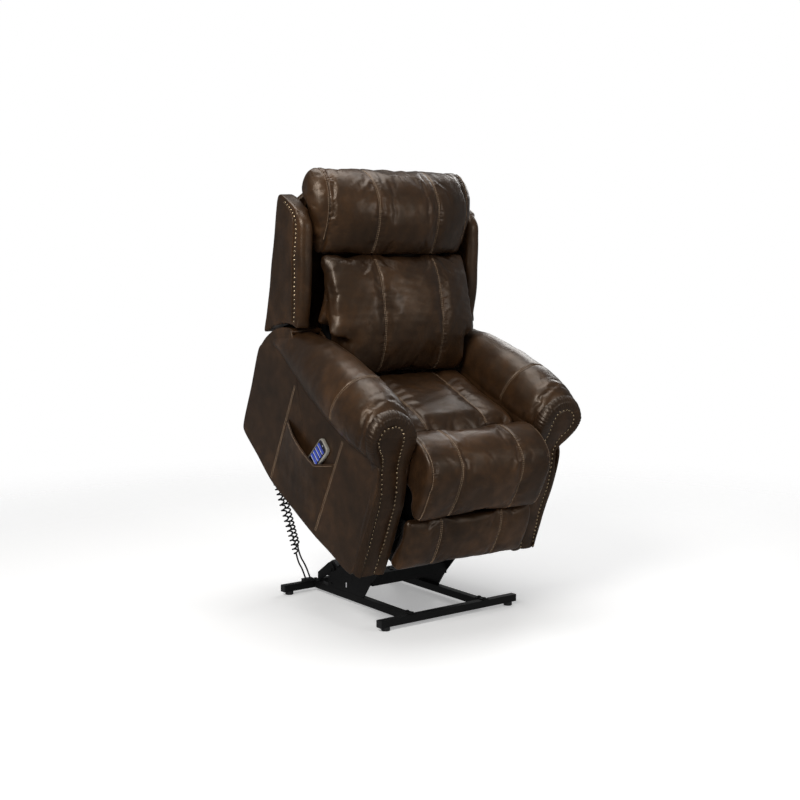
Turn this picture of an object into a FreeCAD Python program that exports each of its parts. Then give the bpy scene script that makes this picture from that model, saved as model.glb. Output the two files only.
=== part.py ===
import FreeCAD, Part
import Sketcher
import math, os

V = FreeCAD.Vector
doc = FreeCAD.newDocument("LiftReclinerChair")

# ---------------------------------------------------------------- dimensions
# Driving dimensions in millimetres. Chair coordinates: "back" is the distance
# behind the lower front corner of the arms, "up" the height above it, both
# measured with the chair let down on its base.
DIMS = [
    ("tube_side", 25.0, "square base tube"),
    ("tube_wall", 2.0, "tube wall"),
    ("foot_rise", 12.0, "height of a glide foot"),
    ("foot_rad", 15.0, "radius of a glide foot"),
    ("front_bar_half", 295.0, "half length of the front crossbar"),
    ("rear_bar_half", 300.0, "half length of the rear crossbar"),
    ("front_bar_y", -332.5, "front face of the front crossbar"),
    ("rear_bar_y", 262.0, "front face of the rear crossbar"),
    ("rail_off", 159.0, "offset of each rail from the middle"),
    ("cap_thick", 4.0, "thickness of an end cap"),
    ("side_plate_thick", 5.0, "base side plate"),
    ("arm_plate_thick", 6.0, "lift arm plate"),
    ("link_thick", 6.0, "front link plate"),
    ("pin_rad", 8.0, "main pivot pin radius"),
    ("pin_hole_rad", 8.06, "main pivot hole radius"),
    ("link_pin_rad", 7.0, "front link pin radius"),
    ("link_hole_rad", 7.06, "front link hole radius"),
    ("torque_rad", 19.0, "torque tube radius"),
    ("torque_bore", 16.0, "torque tube bore radius"),
    ("rod_rad", 10.0, "actuator rod radius"),
    ("act_tube_rad", 20.0, "actuator tube radius"),
    ("act_tube_bore", 12.0, "actuator tube bore radius"),
    ("tilt_deg", 28.0, "tilt of the raised chair"),
    ("low_y", -380.0, "lower front corner of the arms, chair let down, Y"),
    ("low_z", 79.0, "lower front corner of the arms, chair let down, Z"),
    ("high_y", -326.0, "lower front corner of the arms, chair raised, Y"),
    ("high_z", 199.5, "lower front corner of the arms, chair raised, Z"),
    ("arm_in", 276.0, "inner face of an arm from the middle"),
    ("arm_out", 390.0, "outer face of an arm from the middle"),
    ("panel_thick", 6.0, "covered side panel"),
    ("arm_wall", 12.0, "arm frame board"),
    ("seat_half", 262.0, "half width of the seat cushions"),
    ("board_thick", 20.0, "seat frame board"),
    ("lumbar_half", 308.0, "half width of the back cushion"),
    ("head_half", 330.0, "half width of the headrest pillow"),
    ("wing_in", 338.0, "inner face of a wing"),
    ("wing_thick", 55.0, "wing thickness"),
    ("hinge_back", 630.0, "back hinge, distance back"),
    ("hinge_up", 280.0, "back hinge, height"),
    ("nail_rad", 4.0, "nailhead radius"),
    ("nail_rise", 2.5, "nailhead height"),
    ("key_rise", 3.0, "handset key thickness"),
    ("handset_wide", 60.0, "handset width"),
    ("handset_long", 135.0, "handset length"),
    ("handset_thick", 15.0, "handset thickness"),
    ("coil_rad", 11.0, "curly cord outer radius"),
    ("lead_rad", 2.5, "cord radius"),
    ("slat", 4.0, "spring wire section"),
]
sheet = doc.addObject("Spreadsheet::Sheet", "Dims")
D = {}
for i, (alias, value, note) in enumerate(DIMS, start=1):
    sheet.set("A%d" % i, note)
    sheet.set("B%d" % i, repr(float(value)))
    sheet.setAlias("B%d" % i, alias)
    D[alias] = float(value)
doc.recompute()

NODES = {}
# The row's origin is on the floor below the middle of the raised chair.
SHIFT = FreeCAD.Placement(V(0, 82.0, 0), FreeCAD.Rotation())


def bind(obj, prop, expr):
    """A number is set, a string is an expression on the sheet's aliases."""
    if isinstance(expr, str):
        e = expr
        for alias in sorted(D, key=len, reverse=True):
            e = e.replace("$" + alias, "Dims." + alias)
        obj.setExpression(prop, e)
    else:
        setattr(obj, prop, float(expr))


def ev(expr):
    if isinstance(expr, str):
        e = expr
        for alias in sorted(D, key=len, reverse=True):
            e = e.replace("$" + alias, repr(D[alias]))
        total = 0.0
        # only sums of signed terms with an optional factor are used
        e = e.replace("-", "+-").replace(" ", "")
        for term in e.split("+"):
            if term in ("", "-"):
                if term == "-":
                    raise ValueError(expr)
                continue
            value = 1.0
            for factor in term.split("*"):
                neg = factor.startswith("-")
                value *= (-1.0 if neg else 1.0) * float(factor.lstrip("-"))
            total += value
        return total
    return float(expr)


def node(name, obj, place=None):
    obj.Label = name
    if place is not None:
        obj.Placement = place.multiply(obj.Placement)
    obj.Placement = SHIFT.multiply(obj.Placement)
    NODES[name] = obj
    return obj


def box(tag, size, pos):
    o = doc.addObject("Part::Box", tag)
    for prop, v in zip(("Length", "Width", "Height"), size):
        bind(o, prop, v)
    o.Placement = FreeCAD.Placement(V(*[ev(p) for p in pos]), FreeCAD.Rotation())
    return o


def cyl(tag, rad, length, pos, axis):
    o = doc.addObject("Part::Cylinder", tag)
    bind(o, "Radius", rad)
    bind(o, "Height", length)
    o.Placement = FreeCAD.Placement(V(*[ev(p) for p in pos]), FreeCAD.Rotation(V(0, 0, 1), V(*axis)))
    return o


def cut(tag, base, tool):
    o = doc.addObject("Part::Cut", tag)
    o.Base, o.Tool = base, tool
    return o


def fuse(tag, parts):
    o = doc.addObject("Part::MultiFuse", tag)
    o.Shapes = parts
    return o


def group(tag, parts):
    o = doc.addObject("Part::Compound", tag)
    o.Links = parts
    return o


def plane(body, role):
    for f in body.Origin.OriginFeatures:
        if getattr(f, "Role", "") == role:
            return f
    raise RuntimeError(role)


def poly_sketch(body, tag, role, offset, pts, holes=(), open_holes=()):
    """Closed polygon with every corner held by a dimension, and round holes."""
    sk = body.newObject("Sketcher::SketchObject", tag)
    sk.AttachmentSupport = [(plane(body, role), "")]
    sk.MapMode = "FlatFace"
    sk.AttachmentOffset = FreeCAD.Placement(V(0, 0, ev(offset)), FreeCAD.Rotation())
    q = [(ev(a), ev(b)) for a, b in pts]
    n = len(q)
    geo = [Part.LineSegment(V(q[i][0], q[i][1], 0), V(q[(i + 1) % n][0], q[(i + 1) % n][1], 0)) for i in range(n)]
    sk.addGeometry(geo, False)
    cons = [Sketcher.Constraint("Coincident", i, 2, (i + 1) % n, 1) for i in range(n)]
    names = []
    for i in range(n):
        cons.append(Sketcher.Constraint("DistanceX", -1, 1, i, 1, q[i][0]))
        names.append((len(cons) - 1, "px%d" % i, pts[i][0]))
        cons.append(Sketcher.Constraint("DistanceY", -1, 1, i, 1, q[i][1]))
        names.append((len(cons) - 1, "py%d" % i, pts[i][1]))
    for k, (a, b, r) in enumerate(holes):
        g = sk.addGeometry(Part.Circle(V(ev(a), ev(b), 0), V(0, 0, 1), ev(r)), False)
        cons.append(Sketcher.Constraint("DistanceX", -1, 1, g, 3, ev(a)))
        cons.append(Sketcher.Constraint("DistanceY", -1, 1, g, 3, ev(b)))
        cons.append(Sketcher.Constraint("Radius", g, ev(r)))
        names.append((len(cons) - 1, "hr%d" % k, r))
    for k, slot in enumerate(open_holes):
        m = len(slot)
        s = [(ev(a), ev(b)) for a, b in slot]
        first = None
        for i in range(m):
            g = sk.addGeometry(Part.LineSegment(V(s[i][0], s[i][1], 0), V(s[(i + 1) % m][0], s[(i + 1) % m][1], 0)), False)
            if first is None:
                first = g
        for i in range(m):
            cons.append(Sketcher.Constraint("Coincident", first + i, 2, first + (i + 1) % m, 1))
            cons.append(Sketcher.Constraint("DistanceX", -1, 1, first + i, 1, s[i][0]))
            cons.append(Sketcher.Constraint("DistanceY", -1, 1, first + i, 1, s[i][1]))
    sk.addConstraint(cons)
    for idx, name, expr in names:
        if isinstance(expr, str):
            sk.renameConstraint(idx, name)
            e = expr
            for alias in sorted(D, key=len, reverse=True):
                e = e.replace("$" + alias, "Dims." + alias)
            sk.setExpression("Constraints." + name, e)
    return sk


def prism(tag, pts, start, thick, role="YZ_Plane", holes=(), slots=(), more=()):
    """Flat plate or long block: a polygon padded along the plane's normal."""
    body = doc.addObject("PartDesign::Body", tag)
    sk = poly_sketch(body, tag + "Sketch", role, start, pts, holes, slots)
    pad = body.newObject("PartDesign::Pad", tag + "Pad")
    pad.Profile = sk
    bind(pad, "Length", thick)
    for k, (p2, s2, t2) in enumerate(more):
        sk2 = poly_sketch(body, tag + "Sketch%d" % k, role, s2, p2)
        pad2 = body.newObject("PartDesign::Pad", tag + "Pad%d" % k)
        pad2.Profile = sk2
        bind(pad2, "Length", t2)
    return body


def rigid(place, pts):
    return [place.multVec(V(*p)) for p in pts]


# ---------------------------------------------------------------- lift motion
# The chair turns on its base about the pole P of the lift linkage.
T = math.radians(D["tilt_deg"])
ct, st = math.cos(T), math.sin(T)
A = (D["low_y"], D["low_z"])
B = (D["high_y"], D["high_z"])
half = 0.5 / math.tan(T / 2.0)
dy, dz = B[0] - A[0], B[1] - A[1]
P = ((A[0] + B[0]) / 2 - half * dz, (A[1] + B[1]) / 2 + half * dy)
LIFT = FreeCAD.Placement(V(0, 0, 0), FreeCAD.Rotation(V(1, 0, 0), D["tilt_deg"]), V(0, P[0], P[1]))


def turn(pt, centre, deg):
    c, s = math.cos(math.radians(deg)), math.sin(math.radians(deg))
    y, z = pt[0] - centre[0], pt[1] - centre[1]
    return (centre[0] + c * y - s * z, centre[1] + s * y + c * z)


def low(back, up):
    return (A[0] + back, A[1] + up)


def raised(back, up):
    return turn(low(back, up), P, D["tilt_deg"])


def chair(pts):
    """Chair coordinates (back, up) to the let-down frame (Y, Z)."""
    out = []
    for b, u in pts:
        out.append((A[0] + b, A[1] + u))
    return out


def pole_link(c, gy):
    """Base pivot with Y = gy that is as far from c let down as from c raised."""
    c0, c1 = low(*c), raised(*c)
    m = ((c0[0] + c1[0]) / 2, (c0[1] + c1[1]) / 2)
    v = (c1[0] - c0[0], c1[1] - c0[1])
    gz = m[1] - (gy - m[0]) * v[0] / v[1]
    a0 = math.degrees(math.atan2(c0[1] - gz, c0[0] - gy))
    a1 = math.degrees(math.atan2(c1[1] - gz, c1[0] - gy))
    return (gy, gz), c1, (a1 - a0 + 180.0) % 360.0 - 180.0


C_REAR = (470.0, 0.0)
C_FRONT = (60.0, 60.0)
G_REAR, C_REAR_UP, SWING_REAR = pole_link(C_REAR, -195.0)
G_FRONT, C_FRONT_UP, SWING_FRONT = pole_link(C_FRONT, -80.0)
# torque tube on the crank of the lift arms, raised
KT = (G_REAR[0] + 100.0 * math.cos(math.radians(101.9)), G_REAR[1] + 100.0 * math.sin(math.radians(101.9)))
MB = (195.0, 88.0)                       # lift motor pivot on the base
_d = math.hypot(MB[0] - KT[0], MB[1] - KT[1])
KE = (KT[0] + 38.0 * (MB[0] - KT[0]) / _d, KT[1] + 38.0 * (MB[1] - KT[1]) / _d)
KE0 = turn(KE, G_REAR, -SWING_REAR)
LEN_UP = math.hypot(KE[0] - MB[0], KE[1] - MB[1])
LEN_DOWN = math.hypot(KE0[0] - MB[0], KE0[1] - MB[1])
ANG_UP = math.degrees(math.atan2(KE[1] - MB[1], KE[0] - MB[0]))
ANG_DOWN = math.degrees(math.atan2(KE0[1] - MB[1], KE0[0] - MB[0]))
print("POLE %.4f %.4f" % P)
print("G_REAR %.4f %.4f swing %.4f" % (G_REAR[0], G_REAR[1], SWING_REAR))
print("G_FRONT %.4f %.4f swing %.4f" % (G_FRONT[0], G_FRONT[1], SWING_FRONT))
print("LIFT ACTUATOR up %.3f at %.3f down %.3f at %.3f eye %.3f %.3f" % (LEN_UP, ANG_UP, LEN_DOWN, ANG_DOWN, KE[0], KE[1]))
for nm, c in (("LEGREST_O", (85, 185)), ("LEGREST_Q1", (75, 36)), ("LEGREST_Q2", (24, 180)), ("BACK_HINGE", (630, 280)),
              ("RECLINE_MOTOR", (340, 175)), ("RECLINE_EYE", (640, 190))):
    print(nm, "%.4f %.4f" % raised(*c))


def bar_outline(a, b, ra, rb, steps=4):
    """Outline round two circles, as a polygon."""
    ang = math.degrees(math.atan2(b[1] - a[1], b[0] - a[0]))
    out = []
    for k in range(steps + 1):
        t = math.radians(ang + 90 + 180.0 * k / steps)
        out.append((a[0] + ra * math.cos(t), a[1] + ra * math.sin(t)))
    for k in range(steps + 1):
        t = math.radians(ang - 90 + 180.0 * k / steps)
        out.append((b[0] + rb * math.cos(t), b[1] + rb * math.sin(t)))
    return out


# ---------------------------------------------------------------- base frame
def tube_x(tag, half_alias, y_alias):
    outer = box(tag + "Outer", ("2 * $" + half_alias, "$tube_side", "$tube_side"),
                ("-1*$" + half_alias, "$" + y_alias, "$foot_rise"))
    inner = box(tag + "Inner", ("2 * $" + half_alias + " + 2", "$tube_side - 2 * $tube_wall", "$tube_side - 2 * $tube_wall"),
                ("-1*$" + half_alias + " - 1", "$" + y_alias + " + $tube_wall", "$foot_rise + $tube_wall"))
    return cut(tag, outer, inner)


node("base_front_crossbar", tube_x("FrontBar", "front_bar_half", "front_bar_y"))
node("base_rear_crossbar", tube_x("RearBar", "rear_bar_half", "rear_bar_y"))
rail_y0 = D["front_bar_y"] + D["tube_side"]
rail_len = D["rear_bar_y"] - rail_y0
for side, s in (("left", 1), ("right", -1)):
    x0 = s * D["rail_off"] - D["tube_side"] / 2
    outer = box("Rail%sOuter" % side, ("$tube_side", "$rear_bar_y - $front_bar_y - $tube_side", "$tube_side"), (x0, rail_y0, "$foot_rise"))
    inner = box("Rail%sInner" % side, ("$tube_side - 2 * $tube_wall", "$rear_bar_y - $front_bar_y - $tube_side + 2", "$tube_side - 2 * $tube_wall"),
                (x0 + D["tube_wall"], rail_y0 - 1, "$foot_rise + $tube_wall"))
    node("base_rail_" + side, cut("Rail" + side, outer, inner))

caps = []
for k, (h, y) in enumerate((("front_bar_half", "front_bar_y"), ("rear_bar_half", "rear_bar_y"))):
    for s in (1, -1):
        x0 = D[h] if s > 0 else -D[h] - D["cap_thick"]
        caps.append(box("Cap%d%d" % (k, s + 1), ("$cap_thick", "$tube_side", "$tube_side"), (x0, "$" + y, "$foot_rise")))
node("base_end_caps", group("EndCaps", caps))
feet = []
for k, (x, y) in enumerate(((270, -320), (-270, -320), (275, 274.5), (-275, 274.5))):
    feet.append(cyl("Foot%d" % k, "$foot_rad", "$foot_rise", (x, y, 0), (0, 0, 1)))
node("glide_feet", group("GlideFeet", feet))

zt = D["foot_rise"] + D["tube_side"]
tabs, bolts = [], []
for s in (1, -1):
    for k, (y0, ln, yb) in enumerate(((-330.0, 46.0, -320.0), (238.0, 46.0, 274.5))):
        tabs.append(box("Tab%d%d" % (s + 1, k), (24.0, ln, 3.0), (s * D["rail_off"] - 12.0, y0, zt)))
        for j, yy in enumerate((yb, -293.0 if k == 0 else 247.0)):
            pr = doc.addObject("Part::Prism", "Bolt%d%d%d" % (s + 1, k, j))
            pr.Polygon = 6
            pr.Circumradius = 6.5
            pr.Height = 4.5
            pr.Placement = FreeCAD.Placement(V(s * D["rail_off"], yy, zt + 3.0), FreeCAD.Rotation())
            bolts.append(pr)
node("rail_tabs_and_bolts", group("RailTabs", tabs + bolts))

# side plates stand on the rails and carry both pivots on each side
plate_pts = [(-50, 37.0), (172, 37.0), (172, 67), (60, 150), (-60, 226), (-150, 277), (-195, 283), (-222, 268), (-230, 240), (-85, 85)]
for side, s in (("left", 1), ("right", -1)):
    x0 = 166.0 if s > 0 else -171.0
    node("base_side_plate_" + side, prism("SidePlate" + side, plate_pts, x0, "$side_plate_thick",
         holes=[(G_REAR[0], G_REAR[1], "$pin_rad"), (G_FRONT[0], G_FRONT[1], "$link_pin_rad"), (148.0, 50.0, 5.0)],
         slots=[[(52.0, 52.0), (66.0, 52.0), (66.0, 76.0), (52.0, 76.0)]]))

ct_out = box("CrossOuter", (332.0, 40.0, 42.0), (-166.0, -100.0, 88.0))
ct_in = box("CrossInner", (334.0, 34.0, 36.0), (-167.0, -97.0, 91.0))
ct_hole = group("CrossHoles", [cyl("CrossHole%d" % k, 8.0, 20.0, (x, -80.0, 120.0), (0, 0, 1)) for k, x in enumerate((-70.0, 70.0))])
node("base_cross_tube", cut("CrossTube", cut("CrossTubeHollow", ct_out, ct_in), ct_hole))

# pivot pins of the base, and the lift motor's bracket
pins = []
for s in (1, -1):
    pins.append(cyl("PinRear%d" % (s + 1), "$pin_rad", 15.5, (s * 157.0, G_REAR[0], G_REAR[1]), (s, 0, 0)))
    pins.append(cyl("PinFront%d" % (s + 1), "$link_pin_rad", 15.5, (s * 165.0, G_FRONT[0], G_FRONT[1]), (s, 0, 0)))
node("base_pivot_pins", group("BasePins", pins))
ear_pts = [(262, 37.0), (284, 37.0), (284, 62), (212, 112), (190, 112), (174, 98), (174, 78), (190, 66), (228, 60)]
ears = [prism("MotorEar%d" % k, ear_pts, x, 4.0) for k, x in enumerate((-143.0, -61.0))]
foot = box("MotorFoot", (78.0, 22.0, 4.0), (-139.0, 262.0, 37.0))
mpin = cyl("MotorPin", 6.0, 90.0, (-147.0, MB[0], MB[1]), (1, 0, 0))
node("lift_motor_bracket", fuse("MotorBracket", [ears[0], ears[1], foot, mpin]))

clip = box("CordClipBox", (42.0, 20.0, 11.2), (-216.0, 264.5, 37.0))
node("cord_clip", clip)

# ---------------------------------------------------------------- lift arms
for side, s in (("left", 1), ("right", -1)):
    x0 = 158.0 if s > 0 else -164.0
    b1 = bar_outline(G_REAR, C_REAR_UP, 24.0, 20.0)
    b2 = bar_outline(G_REAR, KT, 24.0, 26.0)
    body1 = prism("LiftArmLong" + side, b1, x0, "$arm_plate_thick", holes=[(G_REAR[0], G_REAR[1], "$pin_hole_rad"), (C_REAR_UP[0], C_REAR_UP[1], 9.0)])
    body2 = prism("LiftArmCrank" + side, b2, x0, "$arm_plate_thick", holes=[(G_REAR[0], G_REAR[1], "$pin_hole_rad")])
    node("lift_arm_" + side, fuse("LiftArm" + side, [body1, body2]))

tt_o = cyl("TorqueOuter", "$torque_rad", 316.0, (-158.0, KT[0], KT[1]), (1, 0, 0))
tt_i = cyl("TorqueInner", "$torque_bore", 318.0, (-159.0, KT[0], KT[1]), (1, 0, 0))
ux, uz = (KE[0] - KT[0]) / 38.0, (KE[1] - KT[1]) / 38.0
lug = prism("TorqueLug", bar_outline((KT[0] + 19.0 * ux, KT[1] + 19.0 * uz), KE, 11.0, 11.0), -104.0, 8.0,
            holes=[(KE[0], KE[1], 5.0)])
node("torque_tube", fuse("TorqueTube", [cut("TorqueHollow", tt_o, tt_i), lug]))

for side, s in (("left", 1), ("right", -1)):
    x0 = 173.0 if s > 0 else -179.0
    node("front_link_" + side, prism("FrontLink" + side, bar_outline(G_FRONT, C_FRONT_UP, 17.0, 16.0), x0, "$link_thick",
         holes=[(G_FRONT[0], G_FRONT[1], "$link_hole_rad"), (C_FRONT_UP[0], C_FRONT_UP[1], 8.0)]))

# ---------------------------------------------------------------- lift actuator, on its pivot on the base
au, av = math.cos(math.radians(ANG_UP)), math.sin(math.radians(ANG_UP))
nx, nz = av, -au                        # square to the actuator, on its lower side
if nz > 0:
    nx, nz = -nx, -nz
hexa = doc.addObject("Part::Prism", "GearHex")
hexa.Polygon = 6
hexa.Circumradius = 36.0
hexa.Height = 70.0
hexa.Placement = FreeCAD.Placement(V(-135.0, MB[0], MB[1]), FreeCAD.Rotation(V(0, 0, 1), V(1, 0, 0)))
tube_o = cyl("ActTubeOuter", "$act_tube_rad", 300.0, (-100.0, MB[0] + 20 * au, MB[1] + 20 * av), (0, au, av))
can = cyl("ActCan", 24.0, 120.0, (-100.0, MB[0] + 18 * au + 42 * nx, MB[1] + 18 * av + 42 * nz), (0, au, av))
web = cyl("ActWeb", 15.0, 44.0, (-100.0, MB[0] + 50 * au, MB[1] + 50 * av), (0, nx, nz))
act_solid = fuse("ActSolid", [hexa, tube_o, can, web])
act_bore = cyl("ActBore", "$act_tube_bore", 290.0, (-100.0, MB[0] + 35 * au, MB[1] + 35 * av), (0, au, av))
pin_bore = cyl("ActPinBore", 6.06, 74.0, (-137.0, MB[0], MB[1]), (1, 0, 0))
node("lift_motor", cut("LiftMotor", cut("LiftMotorBored", act_solid, act_bore), pin_bore))

rod = cyl("RodBar", "$rod_rad", LEN_UP - 22.0 - 150.0, (-100.0, MB[0] + 150 * au, MB[1] + 150 * av), (0, au, av))
blk = box("RodBlock", (20.0, 14.0, 20.0), (0, 0, 0))
blk.Placement = FreeCAD.Placement(V(0, 0, 0), FreeCAD.Rotation(V(1, 0, 0), ANG_UP))
blk.Placement.Base = V(-110.0, MB[0] + (LEN_UP - 32.0) * au + 10.0 * av, MB[1] + (LEN_UP - 32.0) * av - 10.0 * au)
cheeks = [prism("RodCheek%d" % k, bar_outline((MB[0] + (LEN_UP - 24) * au, MB[1] + (LEN_UP - 24) * av), KE, 10.0, 11.0), x, 4.0,
                holes=[(KE[0], KE[1], 5.0)]) for k, x in enumerate((-110.0, -94.0))]
node("lift_rod", fuse("LiftRod", [rod, blk] + cheeks))

# ---------------------------------------------------------------- carriage: steel lift frame
fr = []
for s in (1, -1):
    x0 = 200.0 if s > 0 else -225.0
    y0, z0 = low(40, 0)
    fr.append(cut("LiftRail%d" % (s + 1), box("LiftRailO%d" % (s + 1), (25.0, 680.0, 40.0), (x0, y0, z0)),
                  box("LiftRailI%d" % (s + 1), (21.0, 682.0, 36.0), (x0 + 2, y0 - 1, z0 + 2))))
    y1, z1 = low(42, 30)
    fr.append(box("FrontLugBlock%d" % (s + 1), (12.0, 36.0, 52.0), (188.0 if s > 0 else -200.0, y1, z1)))
    yc, zc = low(*C_FRONT)
    fr.append(cyl("FrontLugPin%d" % (s + 1), "$link_pin_rad", 9.0, (s * 189.0, yc, zc), (-s, 0, 0)))
    br = chair([(672, 13), (672, 42), (560, 42), (455, 18), (452, -12), (470, -17), (490, -12)])
    fr.append(prism("RearBracket%d" % (s + 1), br, 148.0 if s > 0 else -153.0, 5.0))
    yr, zr = low(*C_REAR)
    fr.append(cyl("RearStub%d" % (s + 1), "$pin_rad", 6.0, (s * 151.0, yr, zr), (s, 0, 0)))
yx, zx = low(645, 15)
fr.append(box("FrameCross", (402.0, 25.0, 25.0), (-201.0, yx, zx)))
node("lift_frame", fuse("LiftFrame", fr), LIFT)

# seat box of wooden boards on the steel frame
sb = []
for s in (1, -1):
    y0, z0 = low(30, 40)
    sb.append(box("SeatSide%d" % (s + 1), ("$board_thick", 570.0, 250.0), (205.0 if s > 0 else -225.0, y0, z0)))
y0, z0 = low(30, 200)
sb.append(box("SeatFront", (412.0, "$board_thick", 90.0), (-206.0, y0, z0)))
y0, z0 = low(540, 228)
sb.append(box("SeatRear", (412.0, "$board_thick", 62.0), (-206.0, y0, z0)))

# wavy springs across the seat box, front to rear
def zigzag(x_mid, y0, y1, z0, pitch, amp, w, t):
    n = int((y1 - y0) / pitch)
    up, dn = [], []
    for k in range(n + 1):
        y = y0 + (y1 - y0) * k / n
        x = x_mid + (amp if k % 2 else -amp)
        up.append((x - w / 2, y))
        dn.append((x + w / 2, y))
    loop = up + dn[::-1] + [up[0]]
    wire = Part.makePolygon([V(a, b, z0) for a, b in loop])
    return Part.Face(wire).extrude(V(0, 0, t))


y0, z0 = low(32, 290.5)
y1, _ = low(558, 0)
springs = doc.addObject("Part::Feature", "SeatSprings")
springs.Shape = Part.makeCompound([zigzag(x, y0, y1, z0, 26.0, 16.0, D["slat"], D["slat"]) for x in (-160, -80, 0, 80, 160)])
node("seat_springs", springs, LIFT)

sx = D["seat_half"]
node("seat_deck_cushion", prism("SeatDeck", chair([(197, 296), (560, 296), (560, 424), (470, 436), (330, 444), (197, 446)]),
     -sx, "2 * $seat_half"), LIFT)
node("seat_front_cushion", prism("SeatFrontPad", chair([(195, 296), (195, 448), (130, 468), (60, 474), (8, 462), (-30, 434), (-49, 395),
     (-50, 330), (-44, 272), (-34, 238), (-6, 238), (26, 262), (26, 296)]), -sx, "2 * $seat_half"), LIFT)

# arms: wooden box, covered side panel, rolled top, scroll front
OB = (D["hinge_back"], D["hinge_up"])


def arc(rad, a0, a1, n):
    return [(OB[0] + rad * math.cos(math.radians(a0 + (a1 - a0) * k / n)), OB[1] + rad * math.sin(math.radians(a0 + (a1 - a0) * k / n))) for k in range(n + 1)]


rear_arc = arc(249.0, 20.0, 68.0, 5)
arm_pts = [(28, 0), (60, -23), (264, -34), (580, -31), (827, 27)] + rear_arc + [(722, 372), (94, 372)]
hollow = [(45, -8), (264, -20), (575, -18), (812, 35), (845, 350), (800, 420), (735, 470), (735, 360), (104, 360)]
side_panels = []
for side, s in (("left", 1), ("right", -1)):
    x_in, x_out = D["arm_in"], D["arm_out"] - D["panel_thick"] - 0.5
    xa = x_in if s > 0 else -x_out
    outer = prism("ArmBox" + side, chair(arm_pts), xa, "$arm_out - $panel_thick - 0.5 - $arm_in")
    inner = prism("ArmHollow" + side, chair(hollow), xa + D["arm_wall"], "$arm_out - $panel_thick - 0.5 - $arm_in - 2 * $arm_wall")
    node("arm_frame_" + side, cut("ArmFrame" + side, outer, inner), LIFT)
    xp = D["arm_out"] - D["panel_thick"] if s > 0 else -D["arm_out"]
    side_panels.append(prism("SidePanel" + side, chair(arm_pts), xp, "$panel_thick"))
    # rolled top: oval sections from the scroll back to the wing
    secs = []
    for k, (b, xc, rx, uc, ru) in enumerate(((112, 371, 98, 487, 99), (250, 365, 102, 488, 110), (400, 357, 94, 481, 106), (550, 348, 83, 469, 93), (712, 337, 62, 442, 63))):
        e = doc.addObject("Part::Ellipse", "Roll%s%d" % (side, k))
        swap = ru > rx
        e.MajorRadius = max(rx, ru)
        e.MinorRadius = min(rx, ru)
        rot = FreeCAD.Rotation(V(1, 0, 0), V(0, 0, 1), V(0, -1, 0), "ZXY") if False else FreeCAD.Rotation(V(1, 0, 0), 90)
        if swap:
            rot = rot.multiply(FreeCAD.Rotation(V(0, 0, 1), 90))
        if k == 0:
            rot = FreeCAD.Rotation(V(1, 0, 0), -10.0).multiply(rot)
        yy, zz = low(b, uc)
        e.Placement = FreeCAD.Placement(V(s * xc, yy, zz), rot)
        secs.append(e)
    loft = doc.addObject("Part::Loft", "ArmRoll" + side)
    loft.Sections = secs
    loft.Solid = True
    loft.Ruled = False
    node("arm_roll_" + side, loft, LIFT)
    # scroll-shaped front facing: neck below, oval head above, leaning back
    out = []
    pts = [(274, 2), (398, 2), (406, 60), (411, 130), (414, 210), (412, 290), (408, 350), (413, 388), (437, 412), (457, 450), (463, 492),
           (454, 532), (429, 561), (392, 576), (352, 576), (313, 563), (282, 537), (268, 500), (265, 452), (265, 280), (268, 120)]
    if s < 0:
        pts = [(-a, b) for a, b in pts][::-1]
    fac = prism("Facing" + side, [(a, b) for a, b in pts], 0.0, 22.0, role="XZ_Plane")
    lean = FreeCAD.Placement(V(0, A[0] + 24.0, A[1]), FreeCAD.Rotation(V(1, 0, 0), -10.0))
    node("arm_facing_" + side, fac, LIFT.multiply(lean))

node("arm_side_panels", group("SidePanels", side_panels), LIFT)

# nailheads along both edges of each facing
def facing_nails(s):
    row = []
    line = [(374, 30), (371, 60), (366, 130), (366, 210), (366, 290), (369, 350), (374, 392), (387, 428), (406, 456), (419, 484), (417, 508),
            (402, 526), (378, 535), (354, 532), (334, 521), (322, 502), (318, 478), (318, 446), (314, 412), (309, 372), (306, 290), (306, 220),
            (307, 150), (311, 90), (317, 30)]
    for (a0, b0), (a1, b1) in zip(line, line[1:]):
        n = max(1, int(round(math.hypot(a1 - a0, b1 - b0) / 15.0)))
        for k in range(n):
            row.append((a0 + (a1 - a0) * k / n, b0 + (b1 - b0) * k / n))
    row.append(line[-1])
    sol = []
    for a, b in row:
        sol.append(Part.makeCylinder(D["nail_rad"], D["nail_rise"], V(s * a, -22.0, b), V(0, -1, 0)))
    return sol


nails = doc.addObject("Part::Feature", "ArmNails")
nails.Shape = Part.makeCompound(facing_nails(1) + facing_nails(-1))
lean = FreeCAD.Placement(V(0, A[0] + 24.0, A[1]), FreeCAD.Rotation(V(1, 0, 0), -10.0))
node("arm_nailheads", nails, LIFT.multiply(lean))

yq, zq = low(768, -20)
node("lower_rear_panel", box("LowerRear", (548.0, 12.0, 305.0), (-274.0, yq, zq)), LIFT)

# side pocket on the sitter's right, a leaning outer wall with two gussets
yp, _ = low(272, 0)
zb = A[1]
wall = [(390.0, -18), (394.0, -18), (419.0, 218), (415.5, 218), (391.5, 4), (390.0, 4)]
gus = [(390.0, 4), (391.5, 4), (415.5, 218), (390.0, 218)]
def xz(pts):
    return [(-a, b + zb) for a, b in pts][::-1]
pw = prism("PocketWall", xz(wall), -(yp + 311.5), 311.5, role="XZ_Plane")
g1 = prism("PocketGussetFront", xz(gus), -(yp + 3.5), 3.5, role="XZ_Plane")
g2 = prism("PocketGussetRear", xz(gus), -(yp + 311.5), 3.5, role="XZ_Plane")
node("handset_pocket", fuse("Pocket", [pw, g1, g2]), LIFT)

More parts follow.
